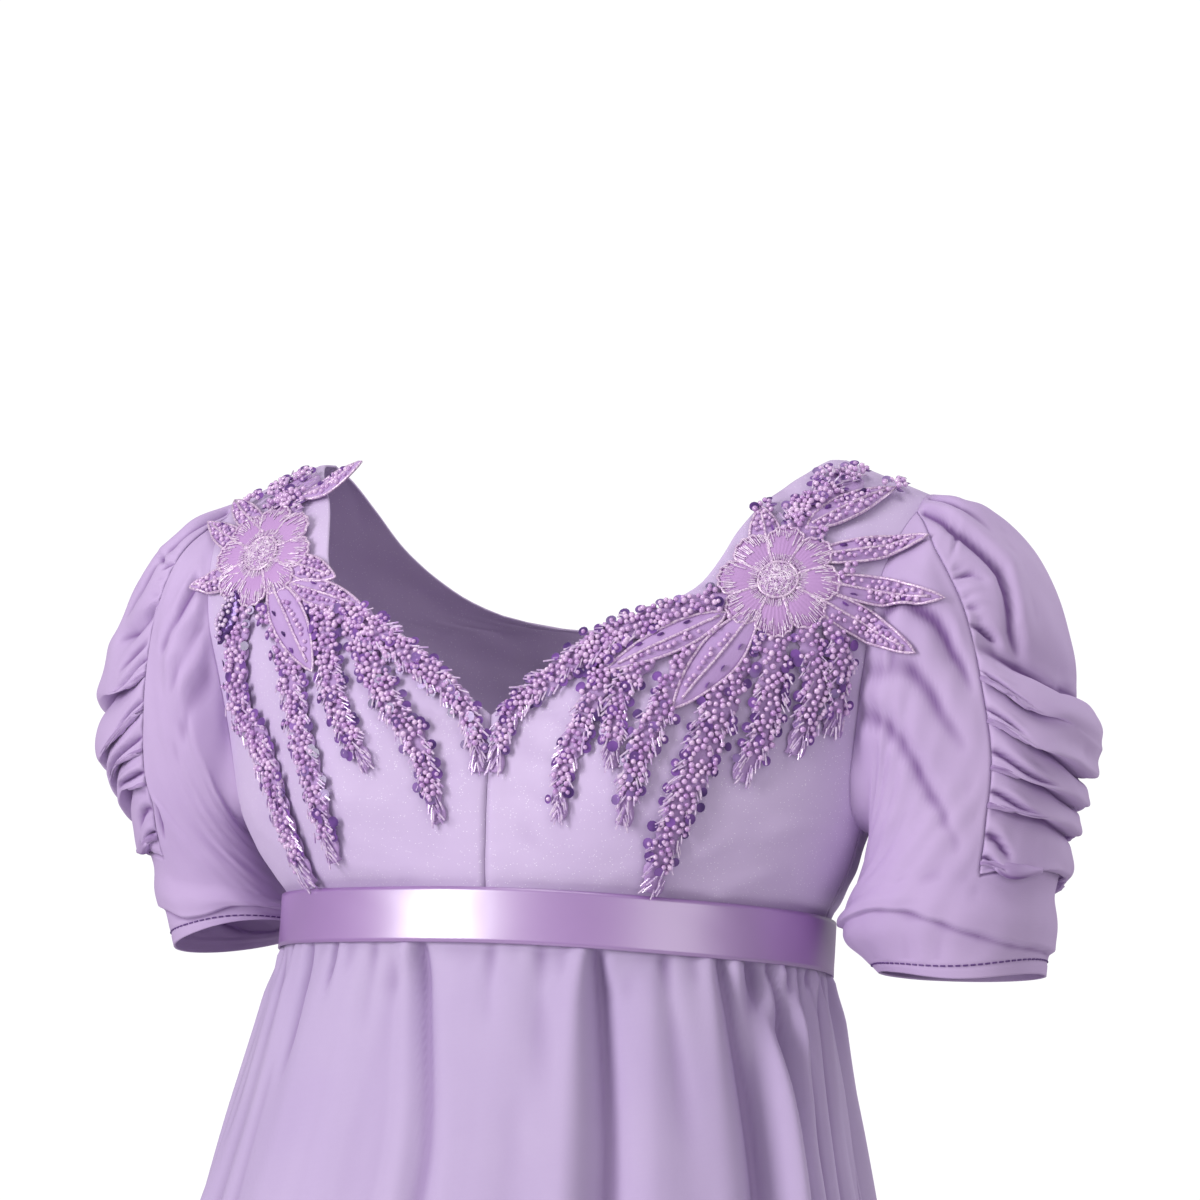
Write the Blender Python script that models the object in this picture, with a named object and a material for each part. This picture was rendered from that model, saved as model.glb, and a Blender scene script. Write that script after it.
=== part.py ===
# Empire-line gown, worn shape, hollow. Metres, +Z up, wearer's left on +X, front on -Y.
# The origin lies midway between the two shoulder seams, at their height.
import math

import bmesh
import bpy
from mathutils import Vector
from mathutils.bvhtree import BVHTree
from mathutils.geometry import delaunay_2d_cdt

MM = 0.001
CLOTH = 1.5             # thickness of the garment walls, mm
RIBBON = 1.2            # thickness of the waist ribbon, mm
GAP = 0.3               # distance between two pieces at a seam, mm
WAIST = -256.0          # height of the waist seam under the ribbon
RIBBON_TOP = -242.5
RIBBON_FOOT = -271.0
NECK_TIP = -154.0       # lowest point of the front neckline
UNDERARM = -197.0
SHOULDER = 5.0          # height of the shoulder seam at the neck edge
STRAP_X = 149.0         # inner edge of the shoulder strap
TIP_X = 198.0           # shoulder tip, where the sleeve head is set in
BUST_X = 84.0
BUST_SPREAD = 46.0
HEM = -1380.0

# One row for each level of the bodice.
TORSO = (
    # height, half_width, side_y, front_y, back_y, squareness, bust, shoulder_drop
    (-256.0, 150.5, 0.0, -111.5, 108.0, 2.00, 0.0, 0.0),
    (-242.5, 150.5, 0.0, -111.5, 108.0, 2.00, 0.0, 0.0),
    (-233.0, 156.0, -6.0, -114.0, 109.0, 2.00, 4.0, 0.0),
    (-217.0, 166.0, -15.0, -116.0, 110.0, 2.00, 9.0, 0.0),
    (-197.0, 174.0, -25.0, -118.0, 112.0, 2.03, 13.0, 0.0),
    (-172.0, 180.0, -26.0, -119.0, 113.0, 2.06, 14.0, 0.0),
    (-154.0, 184.0, -27.0, -119.5, 114.0, 2.10, 11.0, 0.0),
    (-125.0, 194.0, -28.0, -117.0, 112.0, 2.20, 5.0, 0.0),
    (-100.0, 205.0, -28.0, -111.0, 106.0, 2.40, 1.0, 0.0),
    (-75.0, 213.0, -24.0, -101.0, 96.0, 2.55, 0.0, 0.0),
    (-50.0, 217.0, -15.0, -86.0, 80.0, 2.60, 0.0, 3.0),
    (-30.0, 218.0, -8.0, -68.0, 62.0, 2.60, 0.0, 8.0),
    (-13.0, 218.0, -3.0, -48.0, 44.0, 2.60, 0.0, 14.0),
    (0.0, 218.0, -1.0, -26.0, 24.0, 2.60, 0.0, 18.0),
    (5.0, 218.0, 0.0, -0.3, 0.3, 2.60, 0.0, 20.0),
)
FRONT_NECK = (
    # height, x
    (-154.0, 0.15), (-144.0, 13.0), (-132.0, 27.0), (-119.0, 44.0), (-106.0, 62.0),
    (-94.0, 86.0), (-80.0, 103.0), (-66.0, 110.0), (-50.0, 115.0), (-30.0, 124.0),
    (-14.0, 136.0), (5.0, 149.0),
)
BACK_NECK = (
    # height, x
    (-74.0, 0.15), (-71.0, 42.0), (-64.0, 78.0), (-50.0, 106.0), (-30.0, 128.0),
    (-14.0, 138.0), (5.0, 149.0),
)
ARMHOLE = (
    # height, front_x, back_x
    (-197.0, 173.9, 173.9), (-188.0, 173.0, 172.5), (-177.0, 173.5, 171.0),
    (-154.0, 176.5, 171.0), (-125.0, 181.0, 174.0), (-100.0, 185.5, 178.0),
    (-75.0, 189.0, 184.0), (-50.0, 193.0, 190.0), (-30.0, 196.0, 195.0),
    (-14.0, 198.0, 197.5), (5.0, 198.0, 198.0),
)
FRONT_LEVELS = (-242.5, -234.0, -221.0, -207.0, -197.0, -188.0, -177.0, -166.0, -154.0, -144.0,
                -132.0, -119.0, -106.0, -94.0, -80.0, -66.0, -50.0, -32.0, -13.0, 0.0, SHOULDER)
BACK_LEVELS = (-242.5, -221.0, -197.0, -188.0, -177.0, -160.0, -140.0, -119.0, -96.0, -74.0,
               -71.0, -64.0, -50.0, -32.0, -13.0, 0.0, SHOULDER)

# Sleeve rings from armhole (along 0) to hem (along 1); x is away from the body.
SLEEVES = {
    "left": (
        # along, out_x, out_z, in_x, in_z, mid_y, half_depth
        (0.15, 227.0, -18.0, 180.0, -203.0, -13.0, 64.0),
        (0.30, 253.0, -47.0, 178.0, -210.0, -11.0, 64.0),
        (0.45, 273.0, -94.0, 175.0, -218.0, -10.0, 62.0),
        (0.60, 288.0, -140.0, 171.0, -228.0, -10.0, 58.0),
        (0.75, 282.0, -184.0, 166.0, -239.0, -11.0, 55.0),
        (0.88, 274.0, -226.0, 165.0, -252.0, -13.0, 50.0),
        (1.00, 270.0, -268.0, 184.0, -271.0, -8.0, 45.0),
    ),
    "right": (
        (0.15, 222.0, -30.0, 180.0, -203.0, -10.0, 64.0),
        (0.30, 247.0, -57.0, 178.0, -210.0, -3.0, 64.0),
        (0.45, 267.0, -98.0, 176.0, -217.0, 4.0, 61.0),
        (0.60, 278.0, -141.0, 173.0, -226.0, 11.0, 57.0),
        (0.75, 264.0, -182.0, 169.0, -236.0, 19.0, 54.0),
        (0.88, 247.0, -226.0, 165.0, -245.0, 28.0, 49.0),
        (1.00, 236.0, -269.0, 161.0, -251.0, 34.0, 44.0),
    ),
}
# Angle of the gathered seams from the outer line of the sleeve, front and back alike.
RUCHED_SEAM = (
    # along, degrees
    (0.0, 39.0), (0.15, 57.0), (0.30, 62.0), (0.45, 69.0), (0.60, 75.0), (0.83, 76.0),
)
PUFF_END = 0.83
# Creases of the gathered panel, from the shoulder down: the cloth swells after each one.
CREASES = (
    # at_seam, at_outer, swell, rows
    (0.000, 0.000, 6.0, 7),
    (0.070, 0.505, 7.0, 3),
    (0.200, 0.560, 8.0, 3),
    (0.360, 0.620, 9.0, 3),
    (0.470, 0.690, 9.0, 3),
    (0.590, 0.745, 8.0, 3),
    (0.680, 0.780, 6.0, 3),
    (0.755, 0.805, 6.0, 3),
    (0.830, 0.830, 0.0, 0),
)
PUFF_COLUMNS = 18
UNDER_COLUMNS = 13
UNDER_ROWS = (0.0, 0.06, 0.14, 0.22, 0.31, 0.40, 0.49, 0.58, 0.67, 0.75, PUFF_END)
CUFF_ROWS = (0.87, 0.905, 0.925, 0.945, 1.0)
# Soft folds of the plain sleeve panel, each a straight run across the panel.
SLEEVE_FOLDS = (
    # start_along, start_deg, end_along, end_deg, lift, width
    (0.10, 100.0, 0.34, 68.0, 3.0, 0.035),
    (0.26, 118.0, 0.52, 82.0, 3.5, 0.035),
    (0.42, 150.0, 0.56, 112.0, 3.5, 0.035),
    (0.66, 160.0, 0.84, 96.0, 3.0, 0.035),
)

# Beaded lace: one motif on each side, laid out as (x, height) seen from the front.
LACE_LIFT = 0.8         # clearance under the lace
LACE_EDGE = 1.6         # thickness at its edges
LACE_CREST = 3.2        # thickness along the beaded middle of a spray
FLOWERS = {"left": (141.0, -81.0, 26.0), "right": (151.0, -67.0, 26.0)}
LEAVES = {
    "left": (
        # base_x, base_z, tip_x, tip_z, width
        (153.0, -66.0, 212.0, -50.0, 13.0), (158.0, -78.0, 224.0, -84.0, 14.0),
        (155.0, -84.0, 212.0, -113.0, 15.0), (136.0, -68.0, 123.0, -36.0, 15.0),
        (150.0, -48.0, 184.0, -18.0, 16.0), (118.0, -98.0, 62.0, -131.0, 15.0),
        (132.0, -96.0, 97.0, -150.0, 20.0),
    ),
    "right": (
        (158.0, -62.0, 204.0, -38.0, 13.0), (160.0, -74.0, 199.0, -79.0, 13.0),
        (152.0, -52.0, 196.0, -22.0, 13.0), (142.0, -52.0, 122.0, -12.0, 15.0),
        (136.0, -68.0, 100.0, -79.0, 14.0), (128.0, -82.0, 80.0, -96.0, 14.0),
        (140.0, -80.0, 103.0, -132.0, 20.0),
    ),
}
SPRAYS = {
    "left": (
        # each row: widths at start and end, then x and height along the spray
        (15.0, 8.0, 126.0, -90.0, 84.0, -102.0, 58.0, -115.0, 35.0, -133.0, 14.0, -154.0,
         6.5, -178.0),
        (12.0, 5.0, 66.0, -112.0, 52.0, -160.0, 43.0, -187.0, 41.0, -207.0),
        (12.0, 5.0, 92.0, -104.0, 70.0, -150.0, 69.0, -181.0),
        (13.0, 5.0, 110.0, -104.0, 82.0, -178.0, 75.0, -209.0),
        (15.0, 6.0, 130.0, -98.0, 113.0, -165.0, 100.0, -203.0, 84.0, -240.0),
        (13.0, 5.0, 143.0, -96.0, 139.0, -150.0, 128.0, -183.0),
        (11.0, 5.0, 154.0, -92.0, 161.0, -130.0, 151.0, -167.0),
        (9.0, 5.0, 160.0, -84.0, 172.0, -112.0, 170.0, -134.0, 167.0, -155.0),
        (20.0, 16.0, 146.0, -66.0, 151.0, -38.0, 162.0, -12.0),
    ),
    "right": (
        (15.0, 8.0, 132.0, -80.0, 92.0, -99.0, 65.0, -113.0, 40.0, -130.0, 20.0, -148.0,
         6.5, -179.0),
        (14.0, 6.0, 160.0, -84.0, 159.0, -140.0, 138.0, -168.0, 124.0, -195.0, 107.0, -240.0),
        (14.0, 6.0, 136.0, -84.0, 106.0, -165.0, 94.0, -194.0, 86.0, -230.0),
        (12.0, 5.0, 104.0, -96.0, 86.0, -147.0, 63.0, -184.0),
        (13.0, 5.0, 84.0, -104.0, 52.0, -153.0, 38.0, -170.0, 24.0, -210.0),
        (22.0, 18.0, 152.0, -60.0, 150.0, -34.0, 149.0, -10.0),
    ),
}

SKIRT = (
    # height, half_width, front_y, back_y
    (-256.0, 150.5, -111.5, 108.0),
    (-271.0, 150.8, -112.0, 108.5),
    (-300.0, 157.0, -117.0, 114.0),
    (-330.0, 164.0, -122.0, 121.0),
    (-400.0, 181.0, -134.0, 137.0),
    (-550.0, 216.0, -161.0, 170.0),
    (-800.0, 270.0, -204.0, 224.0),
    (-1100.0, 334.0, -256.0, 288.0),
    (-1380.0, 392.0, -306.0, 348.0),
)
SKIRT_LEVELS = (-271.5, -279.0, -290.0, -308.0, -340.0, -400.0, -520.0, -720.0,
                -1020.0, HEM)
# Ridges (positive) and hollows (negative) of the skirt, by angle from the front.
FRONT_FOLDS = (
    # waist_deg, hem_deg, lift_at_waist, lift_at_hem
    (-90.0, -90.0, 0.0, 4.0), (-85.5, -83.0, 3.0, 20.0), (-81.5, -77.0, -2.5, -14.0),
    (-77.5, -70.0, 3.5, 18.0), (-73.0, -64.0, -3.0, -16.0), (-68.0, -57.0, 3.0, 22.0),
    (-61.0, -50.0, -3.5, -14.0), (-55.0, -43.0, 2.0, 14.0), (-49.0, -36.0, -3.5, -16.0),
    (-38.0, -27.0, 1.5, 18.0), (-27.0, -19.0, 1.0, 4.0), (-15.0, -11.0, -5.5, -22.0),
    (-4.0, -2.0, 1.5, 14.0), (9.0, 6.0, 1.0, 10.0), (18.0, 13.0, 2.0, 16.0),
    (26.0, 20.0, -5.5, -22.0), (35.0, 28.0, 1.5, 16.0), (46.0, 36.0, 2.0, 12.0),
    (57.0, 45.0, -6.0, -20.0), (63.0, 53.0, 6.0, 26.0), (68.5, 60.0, -5.0, -18.0),
    (72.0, 66.0, 2.5, 15.0), (75.5, 71.0, -2.5, -13.0), (79.0, 76.0, 3.0, 19.0),
    (82.5, 81.0, -2.5, -12.0), (86.0, 85.5, 2.5, 14.0), (90.0, 90.0, 0.0, 4.0),
)
BACK_FOLDS = (
    (90.0, 90.0, 0.0, 4.0), (94.0, 95.0, -2.5, -13.0), (99.0, 101.0, 3.0, 18.0),
    (104.0, 107.0, -3.0, -15.0), (110.0, 114.0, 3.0, 22.0), (116.0, 120.0, -3.0, -14.0),
    (122.0, 127.0, 3.5, 17.0), (129.0, 134.0, -3.0, -18.0), (136.0, 141.0, 3.0, 24.0),
    (143.0, 147.0, -3.0, -12.0), (150.0, 154.0, 3.5, 20.0), (158.0, 162.0, -3.5, -19.0),
    (167.0, 170.0, 3.0, 18.0), (175.0, 177.0, -2.5, -10.0), (183.0, 184.0, 3.0, 23.0),
    (191.0, 190.0, -3.5, -17.0), (199.0, 197.0, 3.0, 16.0), (206.0, 204.0, -3.0, -20.0),
    (213.0, 211.0, 3.5, 21.0), (220.0, 217.0, -3.0, -13.0), (227.0, 224.0, 3.0, 19.0),
    (234.0, 231.0, -3.0, -17.0), (241.0, 238.0, 3.0, 22.0), (248.0, 245.0, -2.5, -12.0),
    (255.0, 252.0, 3.0, 16.0), (261.0, 259.0, -3.0, -16.0), (266.0, 265.0, 2.5, 13.0),
    (270.0, 270.0, 0.0, 4.0),
)


def curve(table, key, column=1):
    """Read one column of a table at a key, on a smooth curve that never overshoots."""
    if key <= min(table[0][0], table[-1][0]) or key >= max(table[0][0], table[-1][0]):
        ends = sorted((table[0], table[-1]), key=lambda row: row[0])
        return ends[0][column] if key <= ends[0][0] else ends[1][column]
    rows = table if table[0][0] < table[-1][0] else table[::-1]
    i = max(k for k in range(len(rows) - 1) if rows[k][0] <= key)
    step = [rows[k + 1][0] - rows[k][0] for k in range(len(rows) - 1)]
    rise = [(rows[k + 1][column] - rows[k][column]) / step[k] for k in range(len(rows) - 1)]

    def tangent(k):
        if k == 0 or k == len(rows) - 1:
            return rise[0] if k == 0 else rise[-1]
        if rise[k - 1] * rise[k] <= 0.0:
            return 0.0
        return 2.0 * rise[k - 1] * rise[k] / (rise[k - 1] + rise[k])

    h = step[i]
    u = (key - rows[i][0]) / h
    a, b = rows[i][column], rows[i + 1][column]
    return (a * (1 + 2 * u) * (1 - u) ** 2 + b * u * u * (3 - 2 * u)
            + h * tangent(i) * u * (1 - u) ** 2 - h * tangent(i + 1) * u * u * (1 - u))


def bell(distance, width):
    return math.exp(-(distance / width) ** 2)


def ramp(value, low, high):
    u = min(max((value - low) / (high - low), 0.0), 1.0)
    return u * u * (3.0 - 2.0 * u)


def torso(height, x, face):
    """Point of the bodice surface at a level: face is -1 on the front, +1 on the back."""
    width, side_y, front_y, back_y, square, bust, drop = (
        curve(TORSO, height, k) for k in range(1, 8))
    u = min(abs(x) / width, 1.0)
    reach = (1.0 - u ** square) ** (1.0 / square)
    y = side_y + ((front_y if face < 0 else back_y) - side_y) * reach
    if face < 0:
        y -= bust * bell(abs(x) - BUST_X, BUST_SPREAD) * min(1.0, 2.0 * reach)
    z = height - drop * max(abs(x) - STRAP_X, 0.0) / (TIP_X - STRAP_X)
    return Vector((x, y, z))


def panel(levels, columns, neck, face, edge_column):
    """Half of the bodice front or back, from the centre seam to the side seam."""
    grid = []
    for height in levels:
        width = curve(TORSO, height, 1)
        x_in = curve(neck, height) if height > neck[0][0] else GAP / 2
        x_out = curve(ARMHOLE, height, edge_column) if height > UNDERARM else width
        low = math.asin(min(x_in / width, 1.0))
        high = math.asin(min(x_out / width, 1.0))
        row = []
        for j in range(columns + 1):
            angle = low + (high - low) * j / columns
            row.append(torso(height, width * math.sin(angle), face))
        row[-1].y += face * GAP / 2 if height <= UNDERARM else 0.0
        if height >= SHOULDER:
            for point in row:
                point.y = face * GAP / 2
        grid.append(row)
    return grid


def normals(grid, wrap=False):
    """Unit normal at each point of a grid, by differences along and across it."""
    rows, columns = len(grid), len(grid[0])
    result = []
    for i in range(rows):
        line = []
        for j in range(columns):
            before = grid[i][j - 1] if wrap or j > 0 else grid[i][j]
            after = grid[i][(j + 1) % columns] if wrap or j < columns - 1 else grid[i][j]
            below, above = grid[max(i - 1, 0)][j], grid[min(i + 1, rows - 1)][j]
            line.append((after - before).cross(above - below).normalized())
        result.append(line)
    return result


def flip(normal_grid):
    return [[-n for n in row] for row in normal_grid]


def wall(name, grid, normal_grid, thick, wrap=False, skip=(), pins=(), outer_shift=0.0):
    """Closed thin body: the grid is its outer face, and its inner face lies inside it.
    A pin holds one coordinate of an edge line: (row or column, index, axis)."""
    rows, columns = len(grid), len(grid[0])
    outer = [[p + n * outer_shift for p, n in zip(line, ns)]
             for line, ns in zip(grid, normal_grid)]
    inner = [[p - n * thick for p, n in zip(line, ns)] for line, ns in zip(outer, normal_grid)]
    for kind, index, axis in pins:
        if kind == "row":
            for j in range(columns):
                inner[index][j][axis] = outer[index][j][axis]
        else:
            first, last = 0, rows
            if isinstance(index, tuple):
                index, first, last = index
            for i in range(first, last):
                inner[i][index][axis] = outer[i][index][axis]
    cells = [(i, j) for i in range(rows - 1) for j in range(columns if wrap else columns - 1)
             if (i, j) not in skip]
    mesh = bpy.data.meshes.new(name)
    build = bmesh.new()
    made = {}

    def vert(side, i, j):
        key = (side, i, j % columns)
        if key not in made:
            source = outer if side == 0 else inner
            made[key] = build.verts.new(source[i][j % columns] * MM)
        return made[key]

    borders = {}
    for i, j in cells:
        corners = ((i, j), (i, j + 1), (i + 1, j + 1), (i + 1, j))
        build.faces.new([vert(0, *c) for c in corners])
        build.faces.new([vert(1, *c) for c in reversed(corners)])
        for a, b in zip(corners, corners[1:] + corners[:1]):
            a, b = (a[0], a[1] % columns), (b[0], b[1] % columns)
            if (b, a) in borders:
                del borders[(b, a)]
            else:
                borders[(a, b)] = True
    for a, b in borders:
        build.faces.new([vert(0, *b), vert(0, *a), vert(1, *a), vert(1, *b)])
    bmesh.ops.triangulate(build, faces=build.faces[:])
    if build.calc_volume(signed=True) < 0.0:
        bmesh.ops.reverse_faces(build, faces=build.faces[:])
    build.to_mesh(mesh)
    build.free()
    return place(name, mesh)


def place(name, mesh):
    mesh.shade_smooth()
    mesh.set_sharp_from_angle(angle=math.radians(50.0))
    item = bpy.data.objects.new(name, mesh)
    bpy.context.scene.collection.objects.link(item)
    return item


def mirrored(grid, side):
    return [[Vector((p.x * side, p.y, p.z)) for p in row] for row in grid]


def colour(item, rgb, roughness, metallic=0.0):
    paint = bpy.data.materials.new(item.name + "_cloth")
    paint.use_nodes = True
    shader = paint.node_tree.nodes["Principled BSDF"]
    shader.inputs["Base Color"].default_value = (*rgb, 1.0)
    shader.inputs["Roughness"].default_value = roughness
    shader.inputs["Metallic"].default_value = metallic
    item.data.materials.append(paint)
    return item


LILAC = (0.54, 0.42, 0.68)
LILAC_DEEP = (0.47, 0.34, 0.63)
SATIN = (0.42, 0.25, 0.52)
LACE = (0.40, 0.20, 0.50)


def bodice():
    outer_grids = {}
    for word, side in (("left", 1), ("right", -1)):
        front = panel((WAIST + GAP / 2,) + FRONT_LEVELS, 11, FRONT_NECK, -1, 1)
        front = mirrored(front, side)
        ns = normals(front) if side > 0 else flip(normals(front))
        low = sum(1 for h in FRONT_LEVELS if h <= UNDERARM) + 1
        tip = sum(1 for h in FRONT_LEVELS if h <= NECK_TIP) + 1
        pins = (("row", 0, 2), ("row", -1, 1), ("column", (0, 0, tip), 0),
                ("column", (-1, 0, low), 1))
        colour(wall("bodice_front_" + word, front, ns, CLOTH, pins=pins), LILAC, 0.75)
        outer_grids[word] = (front, ns)
        back = panel((WAIST + GAP / 2,) + BACK_LEVELS, 8, BACK_NECK, 1, 2)
        back = mirrored(back, side)
        ns = flip(normals(back)) if side > 0 else normals(back)
        low = sum(1 for h in BACK_LEVELS if h <= UNDERARM) + 1
        tip = sum(1 for h in BACK_LEVELS if h <= BACK_NECK[0][0]) + 1
        pins = (("row", 0, 2), ("row", -1, 1), ("column", (0, 0, tip), 0),
                ("column", (-1, 0, low), 1))
        colour(wall("bodice_back_" + word, back, ns, CLOTH, pins=pins), LILAC, 0.75)
    return outer_grids


def armhole(angle):
    """Point of the armhole at an angle: 0 is the shoulder tip, 90 the front, 180 underarm."""
    angle = (angle + 180.0) % 360.0 - 180.0
    face, column = (-1, 1) if angle >= 0.0 else (1, 2)
    turn = abs(angle) / 180.0
    low, high = UNDERARM, SHOULDER
    height = low + (high - low) * 0.5 * (1.0 + math.cos(math.pi * turn))
    point = torso(height, curve(ARMHOLE, height, column), face)
    if height >= SHOULDER - 0.01:
        point.y = 0.0
    return point + Vector((0.6, 0.0, 0.0))


def sleeve_base(rings, along, angle):
    """Point of a smooth sleeve: angle 0 is its outer line, 90 its front."""
    c, s = math.cos(math.radians(angle)), math.sin(math.radians(angle))
    path = [(0.0, *armhole(angle))]
    for at, out_x, out_z, in_x, in_z, mid_y, half in rings:
        path.append((at, (out_x + in_x) / 2 + (out_x - in_x) / 2 * c, mid_y - half * s,
                     (out_z + in_z) / 2 + (out_z - in_z) / 2 * c))
    return Vector([curve(path, along, k) for k in (1, 2, 3)])


def sleeve_normal(rings, along, angle):
    a = min(max(along, 0.01), 0.99)
    across = sleeve_base(rings, a, angle + 2.0) - sleeve_base(rings, a, angle - 2.0)
    down = sleeve_base(rings, a + 0.01, angle) - sleeve_base(rings, a - 0.01, angle)
    return across.cross(down).normalized()


def sleeve_fold(along, angle):
    """Lift of the plain sleeve panel over its smooth form."""
    lift = 0.0
    for a0, d0, a1, d1, height, width in SLEEVE_FOLDS:
        ax, ay = (a1 - a0), (d1 - d0) / 200.0
        px, py = along - a0, (angle - d0) / 200.0
        u = min(max((px * ax + py * ay) / (ax * ax + ay * ay), 0.0), 1.0)
        off = math.hypot(px - u * ax, py - u * ay)
        lift += height * bell(off, width) * (1.0 - abs(2.0 * u - 1.0) ** 3)
    lift += 3.0 * bell(along - 0.915, 0.022) - 1.5 * bell(along - 0.955, 0.02)
    return lift


def puff(rings, word, side):
    """Gathered panel over the arm: its rows follow the creases, and its cloth swells between."""
    lines = []
    for k in range(len(CREASES) - 1):
        seam, outer, swell, rows = CREASES[k]
        seam_next, outer_next = CREASES[k + 1][:2]
        for r in range(rows):
            f = r / rows
            height = swell * math.sin(math.pi * f ** 1.35) if rows > 3 else (0.0, 0.85, 0.9)[r] * swell
            spot = f if rows > 3 else (0.0, 0.32, 0.74)[r]
            lines.append((seam + (seam_next - seam) * spot, outer + (outer_next - outer) * spot,
                          height))
    lines.append((PUFF_END - 0.004, PUFF_END - 0.004, 0.0))
    grid, base_ns = [], []
    for n, (seam, outer, height) in enumerate(lines):
        row, ns = [], []
        for j in range(PUFF_COLUMNS + 1):
            f = 2.0 * j / PUFF_COLUMNS - 1.0
            edge = abs(f)
            along = outer
            for _ in range(3):
                limit = curve(RUCHED_SEAM, along) - 0.5
                angle = f * limit
                c0 = math.cos(math.radians(limit))
                w = (math.cos(math.radians(angle)) - c0) / (1.0 - c0)
                along = seam + (outer - seam) * w
            normal = sleeve_normal(rings, along, angle)
            fade = 1.0 - edge ** 4
            lift = height * fade
            lift += 2.4 * math.cos(f * 5.0 * math.pi) * fade * bell(along - 0.07, 0.05)
            if n == 0:
                lift = 0.0
            point = sleeve_base(rings, along, angle) + normal * lift
            row.append(point)
            ns.append(normal)
        grid.append(row)
        base_ns.append(ns)
    ns = flip(normals(grid))
    for i in range(len(grid)):
        ns[i][0], ns[i][-1] = base_ns[i][0], base_ns[i][-1]
    ns[0], ns[-1] = base_ns[0], base_ns[-1]
    if ns[5][5].dot(base_ns[5][5]) < 0.0:
        ns = [[-n if 0 < i < len(ns) - 1 and 0 < j < len(row) - 1 else n
               for j, n in enumerate(row)] for i, row in enumerate(ns)]
    grid = mirrored(grid, side)
    ns = mirrored(ns, side)
    colour(wall("sleeve_puff_" + word, grid, ns, CLOTH), LILAC_DEEP, 0.75)
    return grid, ns


def under_sleeve(rings, word, side):
    """Plain panel from the front round the underarm to the back, with the cuff all round."""
    columns = UNDER_COLUMNS + PUFF_COLUMNS
    grid, ns, skip = [], [], set()
    rows = [r + (0.004 if r == PUFF_END else 0.0) for r in UNDER_ROWS] + list(CUFF_ROWS)
    cut = len(UNDER_ROWS) - 1
    for i, along in enumerate(rows):
        limit = curve(RUCHED_SEAM, along) + 0.5
        row, line = [], []
        for j in range(columns):
            if j <= UNDER_COLUMNS:
                angle = limit + (360.0 - 2.0 * limit) * j / UNDER_COLUMNS
            else:
                angle = -limit + 2.0 * limit * (j - UNDER_COLUMNS) / PUFF_COLUMNS
            normal = sleeve_normal(rings, along, angle)
            inside = ramp(j, 0, 2) * ramp(UNDER_COLUMNS - j, 0, 2) if j <= UNDER_COLUMNS else 0.0
            turn = angle if angle <= 180.0 else 360.0 - angle
            lift = sleeve_fold(along, abs(turn)) * (1.0 if along > 0.86 else inside)
            lift *= ramp(along, 0.0, 0.12)
            if along <= PUFF_END + 0.01 and j > UNDER_COLUMNS:
                lift = 0.0
            row.append(sleeve_base(rings, along, angle) + normal * lift)
            line.append(normal)
            if i < cut and j >= UNDER_COLUMNS:
                skip.add((i, j))
        grid.append(row)
        ns.append(line)
    grid = mirrored(grid, side)
    ns = mirrored(ns, side)
    colour(wall("sleeve_under_" + word, grid, ns, CLOTH, wrap=True, skip=skip), LILAC_DEEP, 0.75)
    return grid, ns, skip


def spray_outline(row):
    """Tapering strip along a smooth line: its outline and the points of its middle line."""
    w0, w1 = row[:2]
    stops = [Vector(row[k:k + 2]) for k in range(2, len(row), 2)]
    length = [0.0]
    for a, b in zip(stops, stops[1:]):
        length.append(length[-1] + (b - a).length)
    line_x = [(d, p.x) for d, p in zip(length, stops)]
    line_z = [(d, p.y) for d, p in zip(length, stops)]
    count = max(2, round(length[-1] / 17.0))
    middle = [Vector((curve(line_x, length[-1] * k / count), curve(line_z, length[-1] * k / count)))
              for k in range(count + 1)]
    near, far = [], []
    for k, p in enumerate(middle):
        ahead = middle[min(k + 1, count)] - middle[max(k - 1, 0)]
        side = Vector((-ahead.y, ahead.x)).normalized()
        half = (w0 + (w1 - w0) * (k / count) ** 2) / 2
        near.append(p + side * half)
        far.append(p - side * half)
    return near + far[::-1], middle[1:-1]


def leaf_outline(base_x, base_z, tip_x, tip_z, width):
    base, tip = Vector((base_x, base_z)), Vector((tip_x, tip_z))
    side = Vector((-(tip - base).y, (tip - base).x)).normalized() * width / 2
    near = [base + (tip - base) * u + side * w for u, w in ((0.2, 0.75), (0.5, 1.0), (0.8, 0.6))]
    far = [base + (tip - base) * u - side * w for u, w in ((0.8, 0.6), (0.5, 1.0), (0.2, 0.75))]
    return [base] + near + [tip] + far, [base + (tip - base) * 0.5]


def flower_outline(x, z, radius):
    ring = []
    for k in range(24):
        a = 2.0 * math.pi * k / 24
        r = radius * (1.0 if k % 3 else 0.84)
        ring.append(Vector((x + r * math.cos(a), z + r * math.sin(a))))
    heart = [Vector((x + 9.0 * math.cos(a), z + 9.0 * math.sin(a)))
             for a in (math.pi * k / 3 for k in range(6))]
    return ring, heart + [Vector((x, z))]


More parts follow.
